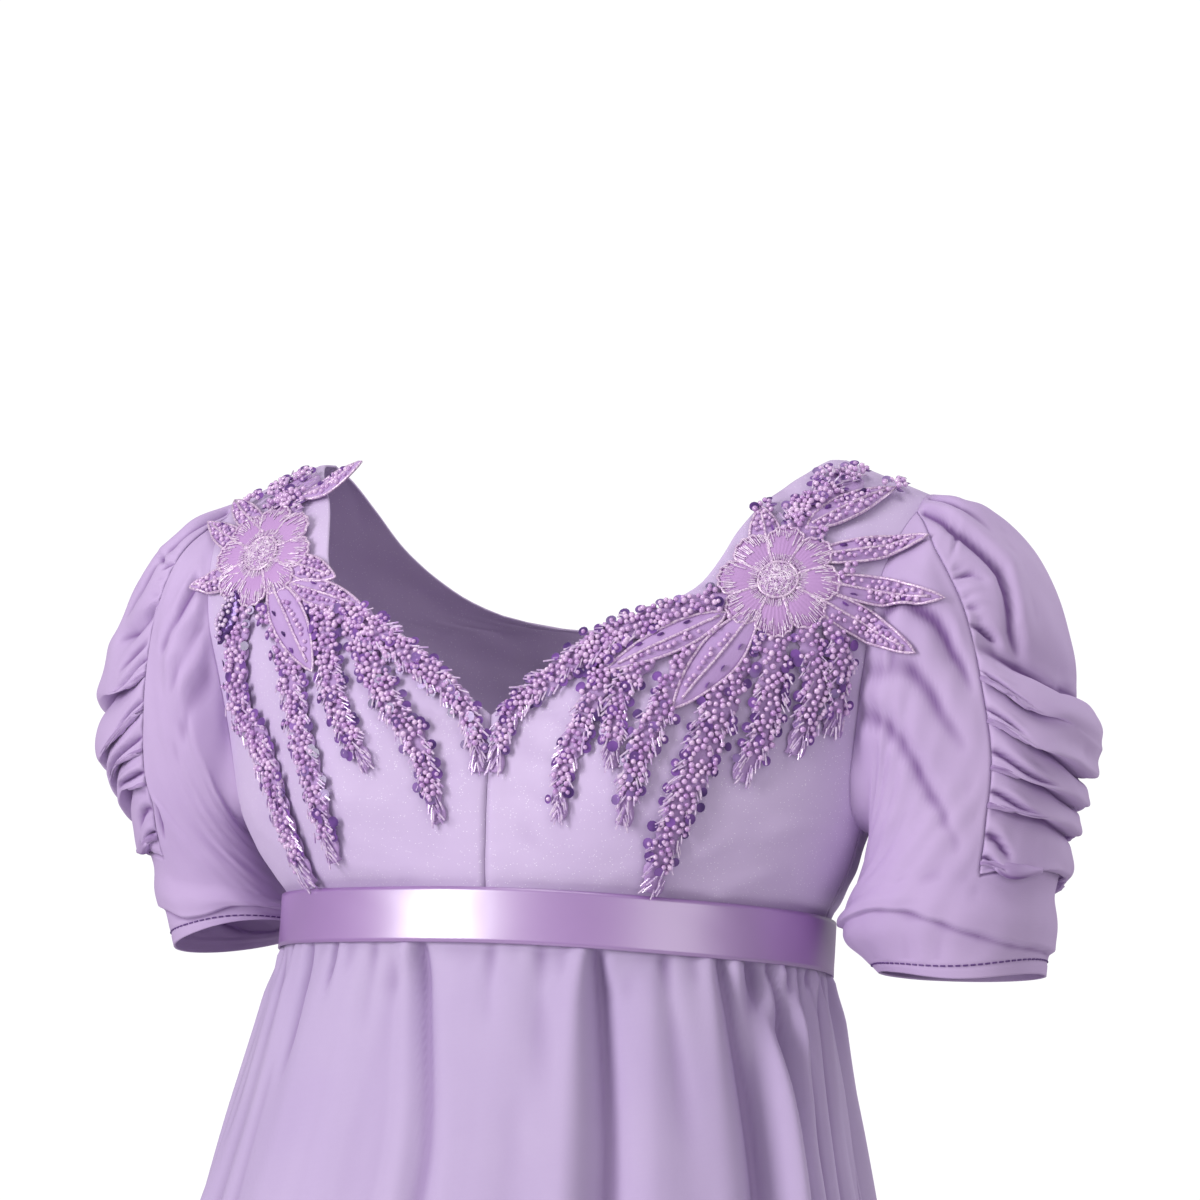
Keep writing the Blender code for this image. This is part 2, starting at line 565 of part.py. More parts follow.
def lace(word, side, surfaces):
    """One beaded motif, laid over the bodice and the sleeve head with a small clearance."""
    shapes = [flower_outline(*FLOWERS[word])]
    shapes += [leaf_outline(*row) for row in LEAVES[word]]
    shapes += [spray_outline(row) for row in SPRAYS[word]]
    points, faces = [], []
    for outline, _ in shapes:
        faces.append(list(range(len(points), len(points) + len(outline))))
        points += outline
    crest = [p for _, inner in shapes for p in inner]
    crest = [p for k, p in enumerate(crest)
             if all((p - q).length > 3.0 for q in crest[:k])]
    points += crest
    flat, _, tris, _, _, _ = delaunay_2d_cdt(points, [], faces, 1, 0.05)
    work = bmesh.new()
    verts = [work.verts.new((p.x, p.y, 0.0)) for p in flat]
    for tri in tris:
        work.faces.new([verts[k] for k in tri])
    bmesh.ops.remove_doubles(work, verts=work.verts[:], dist=1.2)
    loose = [v for v in work.verts if not v.link_faces]
    bmesh.ops.delete(work, geom=loose, context="VERTS")
    work.verts.index_update()
    spots = [Vector((v.co.x, v.co.y)) for v in work.verts]
    tris = [[v.index for v in f.verts] for f in work.faces]
    work.free()

    def front(x, z):
        found = []
        for shift in (-1.5, 0.0, 1.5):
            start = Vector(((x + shift) * side, -400.0, z))
            for tree in surfaces:
                hit = tree.ray_cast(start, Vector((0.0, 1.0, 0.0)))
                if hit[0] is not None:
                    found.append(hit[0].y)
                    break
        return min(found) if found else -60.0

    mixes = [(a, b, 6 - a - b) for a in range(7) for b in range(7 - a)]

    depth = [front(p.x, p.y) - LACE_LIFT for p in spots]
    for _ in range(4):
        for tri in tris:
            corners = [spots[k] for k in tri]
            for mix in mixes:
                total = 6
                spot = sum((c * m for c, m in zip(corners, mix)), Vector((0.0, 0.0))) / total
                here = sum(depth[k] * m for k, m in zip(tri, mix)) / total
                short = here - (front(spot.x, spot.y) - 0.6 * LACE_LIFT)
                if short > 0.0:
                    for k, m in zip(tri, mix):
                        depth[k] -= min(short, 3.0) if m > 1 else 0.0
    under = [Vector((p.x * side, y, p.y)) for p, y in zip(spots, depth)]
    out = [Vector() for _ in under]
    for tri in tris:
        a, b, c = (under[k] for k in tri)
        n = (b - a).cross(c - a)
        n = -n if n.y > 0.0 else n
        for k in tri:
            out[k] += n
    raised = []
    for k, p in enumerate(spots):
        high = min((p - q).length for q in crest) < 1.5
        raised.append(under[k] + out[k].normalized() * (LACE_CREST if high else LACE_EDGE))
    build = bmesh.new()
    low = [build.verts.new(p * MM) for p in under]
    top = [build.verts.new(p * MM) for p in raised]
    rim = {}
    for tri in tris:
        build.faces.new([top[k] for k in tri])
        build.faces.new([low[k] for k in reversed(tri)])
        for a, b in zip(tri, tri[1:] + tri[:1]):
            if (b, a) in rim:
                del rim[(b, a)]
            else:
                rim[(a, b)] = True
    for a, b in rim:
        build.faces.new([top[b], top[a], low[a], low[b]])
    bmesh.ops.triangulate(build, faces=build.faces[:])
    if build.calc_volume(signed=True) < 0.0:
        bmesh.ops.reverse_faces(build, faces=build.faces[:])
    name = "lace_motif_" + word
    mesh = bpy.data.meshes.new(name)
    build.to_mesh(mesh)
    build.free()
    colour(place(name, mesh), LACE, 0.5, 0.1)


def tree_of(grids):
    """Search tree over the outer faces of one or more grids."""
    points, faces = [], []
    for grid, wrap in grids:
        start, columns = len(points), len(grid[0])
        points += [p for row in grid for p in row]
        for i in range(len(grid) - 1):
            for j in range(columns if wrap else columns - 1):
                k = (j + 1) % columns
                a, b = start + i * columns, start + (i + 1) * columns
                faces += [(a + j, a + k, b + k), (a + j, b + k, b + j)]
                faces += [(a + j, a + k, b + j), (a + k, b + k, b + j)]
    return BVHTree.FromPolygons(points, faces)


def skirt_point(height, degrees, folds):
    width, front_y, back_y = (curve(SKIRT, height, k) for k in (1, 2, 3))
    a = math.radians(degrees)
    depth = -front_y if math.cos(a) > 0.0 else back_y
    down = min(max((WAIST - height) / (WAIST - HEM), 0.0), 1.0)
    base = Vector((width * math.sin(a), -depth * math.cos(a), height))
    out = Vector((math.sin(a) / width, -math.cos(a) / depth, 0.0)).normalized()
    spread = [(w + (h - w) * ramp(down, 0.0, 0.9), lw + (lh - lw) * ramp(down, 0.02, 1.0))
              for w, h, lw, lh in folds]
    lift = curve(spread, degrees) * ramp(-height, 270.0, 296.0)
    return base + out * lift


def skirt():
    for word, folds in (("front", FRONT_FOLDS), ("back", BACK_FOLDS)):
        grid = []
        for height in (WAIST - GAP / 2,) + SKIRT_LEVELS:
            down = min(max((WAIST - height) / (WAIST - HEM), 0.0), 1.0)
            stops = [w + (h - w) * ramp(down, 0.0, 0.9) for w, h, _, _ in folds]
            row = []
            for j, stop in enumerate(stops):
                row.append(skirt_point(height, stop, folds))
                wide = j < len(stops) - 1 and folds[j + 1][0] - folds[j][0] > 5.5
                if wide:
                    row.append(skirt_point(height, (stop + stops[j + 1]) / 2, folds))
            row[0].y += GAP / 2 if word == "back" else -GAP / 2
            row[-1].y += GAP / 2 if word == "back" else -GAP / 2
            grid.append(row)
        ns = flip(normals(grid))
        if ns[3][3].dot(grid[3][3]) < 0.0:
            ns = flip(ns)
        pins = (("row", 0, 2), ("column", 0, 1), ("column", -1, 1))
        colour(wall("skirt_" + word, grid, ns, CLOTH, pins=pins), LILAC, 0.7)


def ribbon():
    grid, ns = [], []
    for height in (RIBBON_TOP, WAIST, RIBBON_FOOT):
        row, line = [], []
        for j in range(64):
            a = 2.0 * math.pi * j / 64
            depth = 112.0 if math.cos(a) > 0.0 else 108.2
            width = 150.7
            out = Vector((math.sin(a) / width, -math.cos(a) / depth, 0.0)).normalized()
            base = Vector((width * math.sin(a), -depth * math.cos(a), height))
            row.append(base + out * (GAP + 0.5 + RIBBON))
            line.append(out)
        grid.append(row)
        ns.append(line)
    colour(wall("waist_ribbon", grid, ns, RIBBON, wrap=True), SATIN, 0.3)


def clear():
    for item in list(bpy.data.objects):
        bpy.data.objects.remove(item, do_unlink=True)


def main():
    clear()
    fronts = bodice()
    for word, side in (("left", 1), ("right", -1)):
        over, _ = puff(SLEEVES[word], word, side)
        under, _, _ = under_sleeve(SLEEVES[word], word, side)
        whole = mirrored(panel((WAIST,) + FRONT_LEVELS, 14, ((-2.0 * BUST_X, 0.0), (9.0, 0.0)),
                               -1, 1), side)
        worn = tree_of(((fronts[word][0], False), (over, False), (under, True)))
        lace(word, side, (worn, tree_of(((whole, False),))))
    ribbon()
    skirt()


main()
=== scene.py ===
"""Worn empire-line gown: bodice, gathered puff sleeves, ribbon, full skirt and beaded lace."""
import math
import random

import bmesh
import bpy
import numpy as np
from bpy.props import FloatProperty, FloatVectorProperty, IntProperty, PointerProperty
from mathutils import Matrix, Vector
from mathutils.bvhtree import BVHTree


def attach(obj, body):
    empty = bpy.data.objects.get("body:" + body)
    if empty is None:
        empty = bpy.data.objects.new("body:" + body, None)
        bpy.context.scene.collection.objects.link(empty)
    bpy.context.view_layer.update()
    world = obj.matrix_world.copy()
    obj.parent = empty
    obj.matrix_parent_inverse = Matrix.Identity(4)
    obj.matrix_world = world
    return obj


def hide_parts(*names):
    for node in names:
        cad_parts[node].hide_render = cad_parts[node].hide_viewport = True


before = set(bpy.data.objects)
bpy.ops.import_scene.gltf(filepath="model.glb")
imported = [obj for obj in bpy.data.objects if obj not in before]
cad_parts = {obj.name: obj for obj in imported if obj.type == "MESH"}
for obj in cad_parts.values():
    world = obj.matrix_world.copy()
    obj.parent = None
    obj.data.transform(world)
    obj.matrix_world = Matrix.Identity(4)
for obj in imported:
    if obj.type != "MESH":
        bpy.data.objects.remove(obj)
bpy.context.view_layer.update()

bl_info = {
    "name": "Empire-line Gown",
    "version": (1, 0, 0),
    "blender": (4, 5, 0),
    "location": "View3D > Sidebar > Gown",
    "description": "Builds a worn empire-line gown with gathered sleeves and beaded lace",
    "category": "Object",
}

MM = 0.001
SIDES = (("left", 1), ("right", -1))

# ---------------------------------------------------------------- pattern of the gown, in mm
WAIST = -256.0
RIBBON_TOP = -242.5
RIBBON_FOOT = -271.0
RIBBON_HALF = 150.7             # half of its width; the next two are to its front and back
RIBBON_FRONT = 112.0
RIBBON_BACK = 108.2
RIBBON_WALL = 0.8
RIBBON_LIFT = 2.0               # how far it stands off the waist
RIBBON_WAVE = 0.35              # how far its height wanders
RIBBON_EDGE = 0.22              # rise of its woven edges
UNDERARM = -197.0
SHOULDER = 5.0
STRAP_X = 149.0                 # inner end of the shoulder seam
TIP_X = 198.0                   # outer end of the shoulder seam
BUST_X = 84.0
BUST_SPREAD = 46.0
HEM = -1380.0
SEAM = 0.15                     # gap that two pieces leave at their seam
PUFF_END = 0.83                 # where the puff ends and the cuff starts, along a sleeve
ARMHOLE_LAP = 1.0               # how far a sleeve reaches under the edge of the bodice
NET_WALL = 0.5

TORSO = np.array((
    # height, half_width, side_y, front_y, back_y, squareness, bust, shoulder_drop
    (-256.0, 150.5, 0.0, -111.5, 108.0, 2.00, 0.0, 0.0),
    (-242.5, 150.5, 0.0, -111.5, 108.0, 2.00, 0.0, 0.0),
    (-233.0, 156.0, -6.0, -114.0, 109.0, 2.00, 4.0, 0.0),
    (-217.0, 166.0, -15.0, -116.0, 110.0, 2.00, 9.0, 0.0),
    (-197.0, 174.0, -25.0, -118.0, 112.0, 2.03, 13.0, 0.0),
    (-172.0, 180.0, -26.0, -119.0, 113.0, 2.06, 14.0, 0.0),
    (-154.0, 184.0, -27.0, -119.5, 114.0, 2.10, 11.0, 0.0),
    (-125.0, 194.0, -28.0, -117.0, 112.0, 2.20, 5.0, 0.0),
    (-100.0, 205.0, -28.0, -111.0, 106.0, 2.40, 1.0, 0.0),
    (-75.0, 213.0, -24.0, -101.0, 96.0, 2.55, 0.0, 0.0),
    (-50.0, 217.0, -15.0, -86.0, 80.0, 2.60, 0.0, 3.0),
    (-30.0, 218.0, -8.0, -68.0, 62.0, 2.60, 0.0, 8.0),
    (-13.0, 218.0, -3.0, -48.0, 44.0, 2.60, 0.0, 14.0),
    (0.0, 218.0, -1.0, -26.0, 24.0, 2.60, 0.0, 18.0),
    (5.0, 218.0, 0.0, -0.3, 0.3, 2.60, 0.0, 20.0),
))
FRONT_NECK = np.array((
    # height, x
    (-154.0, 0.15), (-144.0, 13.0), (-132.0, 27.0), (-119.0, 44.0), (-106.0, 62.0),
    (-94.0, 86.0), (-80.0, 103.0), (-66.0, 110.0), (-50.0, 115.0), (-30.0, 124.0),
    (-14.0, 136.0), (5.0, 149.0),
))
BACK_NECK = np.array((
    # height, x
    (-74.0, 0.15), (-71.0, 42.0), (-64.0, 78.0), (-50.0, 106.0), (-30.0, 128.0),
    (-14.0, 138.0), (5.0, 149.0),
))
ARMHOLE = np.array((
    # height, front_x, back_x
    (-197.0, 173.9, 173.9), (-188.0, 173.0, 172.5), (-177.0, 173.5, 171.0),
    (-154.0, 176.5, 171.0), (-125.0, 181.0, 174.0), (-100.0, 185.5, 178.0),
    (-75.0, 189.0, 184.0), (-50.0, 193.0, 190.0), (-30.0, 196.0, 195.0),
    (-14.0, 198.0, 197.5), (5.0, 198.0, 198.0),
))
SLEEVES = {
    "left": np.array((
        # along, out_x, out_z, in_x, in_z, mid_y, half_depth
        (0.15, 227.0, -18.0, 180.0, -203.0, -13.0, 64.0),
        (0.30, 253.0, -47.0, 178.0, -210.0, -11.0, 64.0),
        (0.45, 273.0, -94.0, 175.0, -218.0, -10.0, 62.0),
        (0.60, 288.0, -140.0, 171.0, -228.0, -10.0, 58.0),
        (0.75, 282.0, -184.0, 166.0, -239.0, -11.0, 55.0),
        (0.88, 274.0, -226.0, 165.0, -252.0, -13.0, 50.0),
        (1.00, 270.0, -268.0, 184.0, -271.0, -8.0, 45.0),
    )),
    "right": np.array((
        (0.15, 222.0, -30.0, 180.0, -203.0, -10.0, 64.0),
        (0.30, 247.0, -57.0, 178.0, -210.0, -3.0, 64.0),
        (0.45, 267.0, -98.0, 176.0, -217.0, 4.0, 61.0),
        (0.60, 278.0, -141.0, 173.0, -226.0, 11.0, 57.0),
        (0.75, 264.0, -182.0, 169.0, -236.0, 19.0, 54.0),
        (0.88, 247.0, -226.0, 165.0, -245.0, 28.0, 49.0),
        (1.00, 236.0, -269.0, 161.0, -251.0, 34.0, 44.0),
    )),
}
RUCHED_SEAM = {
    # along, degrees from the outer line: the gathered seam wanders more on the right sleeve
    "left": np.array(((0.0, 39.0), (0.15, 55.0), (0.30, 61.0), (0.45, 65.0), (0.60, 69.0),
                      (0.70, 67.0), (0.83, 63.0))),
    "right": np.array(((0.0, 39.0), (0.15, 50.0), (0.25, 63.0), (0.35, 74.0), (0.45, 81.0),
                       (0.65, 86.0), (0.75, 77.0), (0.83, 67.0))),
}
CREASES = {
    # at_seam, at_outer, swell, lean
    "left": np.array((
        (0.000, 0.000, 4.5, 0.00), (0.371, 0.545, 7.0, 0.80), (0.425, 0.633, 8.0, 0.90),
        (0.504, 0.690, 6.5, 0.90), (0.600, 0.742, 5.5, 0.85), (0.692, 0.788, 5.5, 1.10),
        (0.815, 0.853, 0.4, 0.00), (0.842, 0.842, 0.0, 0.00),
    )),
    "right": np.array((
        (0.000, 0.000, 4.5, 0.00), (0.260, 0.480, 5.5, 0.75), (0.360, 0.600, 8.0, 0.90),
        (0.430, 0.735, 7.0, 0.90), (0.530, 0.770, 6.0, 0.85), (0.615, 0.800, 5.5, 1.10),
        (0.790, 0.850, 0.5, 0.00), (0.842, 0.842, 0.0, 0.00),
    )),
}
OUTLINE_LEAN = 0.25     # share of the lean that is left at the outer line
FILLED = {"left": 2, "right": 1}     # crease that dies out before the outer line
HEAD_DROP = {"left": 7.0, "right": 2.5}     # mm the sleeve head sinks below its round form
UNDER_FOLDS = 0.2       # share of these broad folds that shows between the creases
SLEEVE_FOLDS = (
    # start_along, start_deg, end_along, end_deg, lift, width
    (0.10, 100.0, 0.34, 68.0, 3.0, 0.035),
    (0.26, 118.0, 0.52, 82.0, 3.5, 0.035),
    (0.42, 150.0, 0.56, 112.0, 3.5, 0.035),
    (0.66, 160.0, 0.84, 96.0, 3.0, 0.035),
)
SKIRT = np.array((
    # height, half_width, front_y, back_y
    (-256.0, 150.5, -111.5, 108.0),
    (-271.0, 150.8, -112.0, 108.5),
    (-300.0, 157.0, -117.0, 114.0),
    (-330.0, 164.0, -122.0, 121.0),
    (-400.0, 181.0, -134.0, 137.0),
    (-550.0, 216.0, -161.0, 170.0),
    (-800.0, 270.0, -204.0, 224.0),
    (-1100.0, 334.0, -256.0, 288.0),
    (-1380.0, 392.0, -306.0, 348.0),
))
FRONT_FOLDS = np.array((
    # waist_deg, hem_deg, lift_at_waist, lift_at_hem
    (-90.0, -90.0, 0.0, 4.0), (-85.5, -83.0, 3.0, 20.0), (-81.5, -77.0, -2.5, -14.0),
    (-77.5, -70.0, 3.5, 18.0), (-73.0, -64.0, -3.0, -16.0), (-68.0, -57.0, 3.0, 22.0),
    (-61.0, -50.0, -3.5, -14.0), (-55.0, -43.0, 2.0, 14.0), (-49.0, -36.0, -3.5, -16.0),
    (-38.0, -27.0, 1.5, 18.0), (-27.0, -19.0, 1.0, 4.0), (-15.0, -11.0, -5.5, -22.0),
    (-4.0, -2.0, 1.5, 14.0), (9.0, 6.0, 1.0, 10.0), (18.0, 13.0, 2.0, 16.0),
    (26.0, 20.0, -5.5, -22.0), (35.0, 28.0, 1.5, 16.0), (46.0, 36.0, 2.0, 12.0),
    (57.0, 45.0, -6.5, -20.0), (63.0, 53.0, 6.5, 26.0), (68.5, 60.0, -6.5, -18.0),
    (72.0, 66.0, 3.0, 15.0), (75.5, 71.0, -4.0, -13.0), (79.0, 76.0, 3.5, 19.0),
    (82.5, 81.0, -2.5, -12.0), (86.0, 85.5, 2.5, 14.0), (90.0, 90.0, 0.0, 4.0),
))
BACK_FOLDS = np.array((
    (90.0, 90.0, 0.0, 4.0), (94.0, 95.0, -2.5, -13.0), (99.0, 101.0, 3.0, 18.0),
    (104.0, 107.0, -3.0, -15.0), (110.0, 114.0, 3.0, 22.0), (116.0, 120.0, -3.0, -14.0),
    (122.0, 127.0, 3.5, 17.0), (129.0, 134.0, -3.0, -18.0), (136.0, 141.0, 3.0, 24.0),
    (143.0, 147.0, -3.0, -12.0), (150.0, 154.0, 3.5, 20.0), (158.0, 162.0, -3.5, -19.0),
    (167.0, 170.0, 3.0, 18.0), (175.0, 177.0, -2.5, -10.0), (183.0, 184.0, 3.0, 23.0),
    (191.0, 190.0, -3.5, -17.0), (199.0, 197.0, 3.0, 16.0), (206.0, 204.0, -3.0, -20.0),
    (213.0, 211.0, 3.5, 21.0), (220.0, 217.0, -3.0, -13.0), (227.0, 224.0, 3.0, 19.0),
    (234.0, 231.0, -3.0, -17.0), (241.0, 238.0, 3.0, 22.0), (248.0, 245.0, -2.5, -12.0),
    (255.0, 252.0, 3.0, 16.0), (261.0, 259.0, -3.0, -16.0), (266.0, 265.0, 2.5, 13.0),
    (270.0, 270.0, 0.0, 4.0),
))

# Sharp creases of the skirt, which start under the ribbon and die out lower down.
FRONT_CREASES = (
    # waist_deg, low_deg, hem_deg, reach, depth, width, side of its ridge
    (-80.0, -79.0, -76.0, 0.30, 3.5, 2.4, 1), (-69.5, -67.0, -60.0, 0.16, 4.5, 2.2, -1),
    (-57.0, -55.0, -46.0, 0.42, 4.0, 2.8, 1), (-46.5, -44.0, -38.0, 0.09, 3.5, 2.0, -1),
    (-36.5, -33.0, -28.0, 0.045, 3.2, 1.8, 1), (-25.0, -22.0, -18.0, 0.07, 1.4, 2.4, -1),
    (-14.5, -5.5, -9.0, 0.62, 7.0, 2.6, -1), (2.0, 4.0, 3.0, 0.06, 1.2, 2.4, 1),
    (12.0, 14.0, 11.0, 0.10, 1.4, 2.8, -1), (23.0, 26.5, 22.0, 0.70, 7.5, 2.8, -1),
    (37.0, 40.0, 31.0, 0.12, 1.8, 2.6, 1), (49.5, 56.0, 48.0, 0.55, 7.0, 2.6, -1),
    (56.5, 73.0, 66.0, 0.65, 9.0, 3.8, -1), (62.5, 76.0, 72.0, 0.08, 5.0, 2.0, 1),
    (69.0, 78.0, 74.0, 0.25, 5.0, 2.2, -1), (74.5, 81.0, 77.5, 0.35, 5.5, 2.2, -1),
    (79.5, 84.0, 81.0, 0.12, 4.5, 2.0, 1), (84.0, 87.0, 85.5, 0.30, 4.5, 2.2, -1),
)
BACK_CREASES = (
    (95.0, 94.5, 96.0, 0.20, 4.0, 2.2, 1), (101.5, 101.0, 104.0, 0.09, 3.6, 2.0, -1),
    (108.0, 109.0, 111.0, 0.46, 5.0, 2.6, 1), (119.0, 118.0, 122.0, 0.14, 3.4, 2.2, -1),
    (126.0, 127.0, 130.0, 0.07, 3.0, 2.0, 1), (133.5, 134.0, 138.0, 0.33, 5.0, 2.6, -1),
    (147.0, 146.0, 150.0, 0.58, 6.0, 3.0, 1), (155.0, 156.0, 158.0, 0.10, 3.2, 2.0, -1),
    (163.0, 163.0, 166.0, 0.22, 4.2, 2.4, 1), (178.0, 178.0, 180.0, 0.66, 6.5, 3.2, -1),
    (187.0, 188.0, 187.0, 0.08, 3.0, 2.0, 1), (195.0, 194.0, 194.0, 0.38, 4.6, 2.6, 1),
    (209.5, 209.0, 207.0, 0.17, 3.8, 2.2, -1), (217.0, 216.0, 214.0, 0.50, 5.4, 2.8, 1),
    (230.0, 231.0, 228.0, 0.11, 3.2, 2.2, -1), (237.0, 236.0, 234.0, 0.28, 4.4, 2.4, 1),
    (249.0, 249.0, 246.0, 0.07, 3.0, 2.0, -1), (256.5, 257.0, 254.0, 0.42, 4.8, 2.6, 1),
    (264.0, 264.5, 262.5, 0.15, 3.6, 2.0, -1),
)
# Creases of the plain under panels, which start in their seams; the last ones of each are behind.
SLEEVE_CREASES = {
    "left": (
        # three points as along and degrees, then depth, width, height of the ridge beside it
        (0.03, 86.0, 0.10, 76.5, 0.24, 73.5, 0.34, 73.0, 0.46, 67.0, 5.6, 2.8, 2.4),
        (0.02, 103.0, 0.08, 101.0, 0.13, 99.0, 0.24, 95.0, 3.2, 2.0, 1.0),
        (0.12, 94.0, 0.22, 91.5, 0.31, 89.5, 0.43, 85.0, 0.55, 78.0, 3.4, 2.9, 2.0),
        (0.01, 116.0, 0.16, 113.5, 0.28, 110.5, 0.40, 105.5, 0.56, 99.0, 0.68, 89.0,
         0.80, 75.0, 3.8, 2.7, 2.2),
        (0.06, -80.0, 0.20, -82.0, 0.37, -74.0, 3.8, 2.6, 2.0),
        (0.03, -112.0, 0.20, -107.0, 0.42, -97.0, 3.2, 3.2, 1.6),
        (0.30, -121.0, 0.50, -105.0, 0.67, -88.0, 2.2, 6.0, 1.8),
    ),
    "right": (
        (0.06, 72.0, 0.14, 78.0, 0.26, 79.0, 3.8, 2.4, 2.0),
        (0.01, 88.0, 0.12, 87.0, 0.27, 79.0, 3.0, 1.8, 1.6),
        (0.00, 90.0, 0.05, 91.0, 0.13, 93.0, 0.30, 97.0, 3.6, 3.2, 2.4),
        (0.01, 102.0, 0.08, 106.0, 0.24, 110.0, 0.44, 106.0, 2.2, 5.5, 1.8),
        (0.68, 87.0, 0.75, 82.0, 0.80, 77.0, 3.4, 2.4, 1.6),
        (0.05, -84.0, 0.21, -80.0, 0.34, -76.0, 3.4, 2.4, 1.8),
        (0.02, -104.0, 0.22, -109.0, 0.48, -99.0, 3.0, 3.6, 1.8),
        (0.36, -126.0, 0.52, -110.0, 0.70, -92.0, 2.2, 6.0, 1.6),
    ),
}
SLEEVE_LENGTH = 280.0
GIRTH_STEP = 0.96       # mm round a sleeve for each degree
CUFF_FOLD = {
    # degrees from the outer line, and how far along the cloth hangs over before the hem
    "left": np.array(((0.0, 0.964), (37.0, 0.952), (71.0, 0.924), (100.0, 0.884),
                      (130.0, 0.850), (180.0, 0.845))),
    "right": np.array(((0.0, 0.930), (29.0, 0.934), (84.0, 0.965), (131.0, 0.915),
                       (180.0, 0.890))),
}
HEM_DROOP = {"left": (6.0, 80.0, 45.0), "right": (-2.0, 110.0, 38.0)}    # mm, degree, spread
HEM_STITCHES = 0.980    # where the stitches of the sleeve hems run, along a sleeve
STITCH_PITCH = 3.8      # from one stitch of the hems to the next

# Lace motifs, laid out as (x, height) seen from the front.

FLOWERS = {"left": (141.0, -79.0, 26.0), "right": (151.5, -63.5, 26.0)}
FLOWER_FULL = 1.10      # how far the petals reach past the round they are drawn on
LEAVES = {
    "left": (
        # base_x, base_z, tip_x, tip_z, width
        (153.0, -66.0, 212.0, -50.0, 13.0), (158.0, -78.0, 224.0, -84.0, 14.0),
        (155.0, -84.0, 212.0, -113.0, 15.0), (136.0, -68.0, 123.0, -36.0, 15.0),
        (150.0, -48.0, 184.0, -18.0, 16.0), (118.0, -98.0, 62.0, -131.0, 15.0),
        (132.0, -96.0, 97.0, -150.0, 20.0),
    ),
    "right": (
        (158.0, -62.0, 204.0, -38.0, 13.0), (160.0, -74.0, 199.0, -79.0, 13.0),
        (152.0, -52.0, 196.0, -22.0, 13.0), (142.0, -28.0, 106.0, -8.0, 12.0),
        (136.0, -68.0, 100.0, -79.0, 14.0), (128.0, -82.0, 80.0, -96.0, 14.0),
        (140.0, -80.0, 103.0, -132.0, 20.0),
    ),
}
BARE_LEAVES = {"left": (5, 6), "right": (6,)}       # lie over the sprays, with few beads
DARK_LEAF = (161.0, -84.0, 171.0, -112.0, 13.0)     # sequinned, on the right motif only
SPRAYS = {
    "left": (
        # each row: widths at start and end, then x and height along the spray
        (15.0, 5.0, 126.0, -90.0, 84.0, -102.0, 58.0, -115.0, 35.0, -133.0, 13.5, -152.0,
         7.4, -167.0, 4.8, -184.0),
        (12.0, 5.0, 66.0, -112.0, 52.0, -160.0, 43.0, -187.0, 41.0, -207.0),
        (12.0, 5.0, 92.0, -104.0, 70.0, -150.0, 69.0, -181.0),
        (13.0, 5.0, 110.0, -104.0, 82.0, -178.0, 75.0, -209.0),
        (15.0, 6.0, 130.0, -98.0, 113.0, -165.0, 100.0, -203.0, 84.0, -240.0),
        (13.0, 5.0, 143.0, -96.0, 139.0, -150.0, 128.0, -183.0),
        (11.0, 5.0, 154.0, -92.0, 161.0, -130.0, 151.0, -167.0),
        (9.0, 5.0, 160.0, -84.0, 172.0, -112.0, 170.0, -134.0, 167.0, -155.0),
        (20.0, 16.0, 146.0, -66.0, 151.0, -38.0, 162.0, -12.0),
    ),
    "right": (
        (15.0, 5.0, 132.0, -80.0, 92.0, -99.0, 65.0, -113.0, 38.0, -131.0, 15.5, -149.0,
         7.0, -166.0, 4.6, -184.0),
        (14.0, 6.0, 160.0, -84.0, 159.0, -140.0, 138.0, -168.0, 124.0, -195.0, 107.0, -240.0),
        (14.0, 6.0, 136.0, -84.0, 106.0, -165.0, 94.0, -194.0, 86.0, -230.0),
        (12.0, 5.0, 104.0, -96.0, 86.0, -147.0, 63.0, -184.0),
        (13.0, 5.0, 84.0, -104.0, 52.0, -153.0, 38.0, -170.0, 24.0, -210.0),
        (22.0, 18.0, 152.0, -60.0, 150.0, -34.0, 149.0, -10.0),
    ),
}

# Round clusters of beads beside the flowers.
CLUSTERS = {
    "left": (
        # x, height, radius
        (135.0, -54.0, 6.0), (125.0, -38.0, 5.0), (143.0, -37.0, 6.5), (156.0, -27.0, 6.5),
        (162.0, -11.0, 6.0), (183.0, -17.0, 5.0), (128.0, -111.0, 8.0), (172.0, -68.0, 6.0),
        (150.0, -14.0, 5.0), (173.0, -30.0, 5.0),
    ),
    "right": (
        (138.0, -44.0, 6.0), (150.0, -28.0, 6.5), (163.0, -18.0, 6.0), (178.0, -26.0, 6.0),
        (122.0, -88.0, 6.5), (180.0, -52.0, 5.5), (150.0, -11.0, 5.0), (139.0, -98.0, 6.0),
    ),
}
# Short tucks where the puff is gathered into its seams.
TUCKS = (
    # place, reach, slant, depth, width
    (0.215, 0.20, 0.05, 3.2, 0.0060), (0.315, 0.26, 0.07, 4.8, 0.0065),
    (0.398, 0.34, 0.06, 4.2, 0.0055), (0.432, 0.20, 0.05, 3.2, 0.0045),
    (0.520, 0.26, 0.05, 4.2, 0.0055), (0.556, 0.36, 0.05, 4.6, 0.0055),
    (0.640, 0.58, 0.05, 5.8, 0.0065), (0.682, 0.24, 0.04, 4.0, 0.0050),
    (0.757, 0.46, 0.05, 5.8, 0.0065), (0.800, 0.22, 0.04, 3.8, 0.0050),
    (0.868, 0.28, 0.04, 4.2, 0.0050), (0.900, 0.60, 0.04, 4.8, 0.0055),
    (0.932, 0.24, 0.03, 3.6, 0.0045),
)
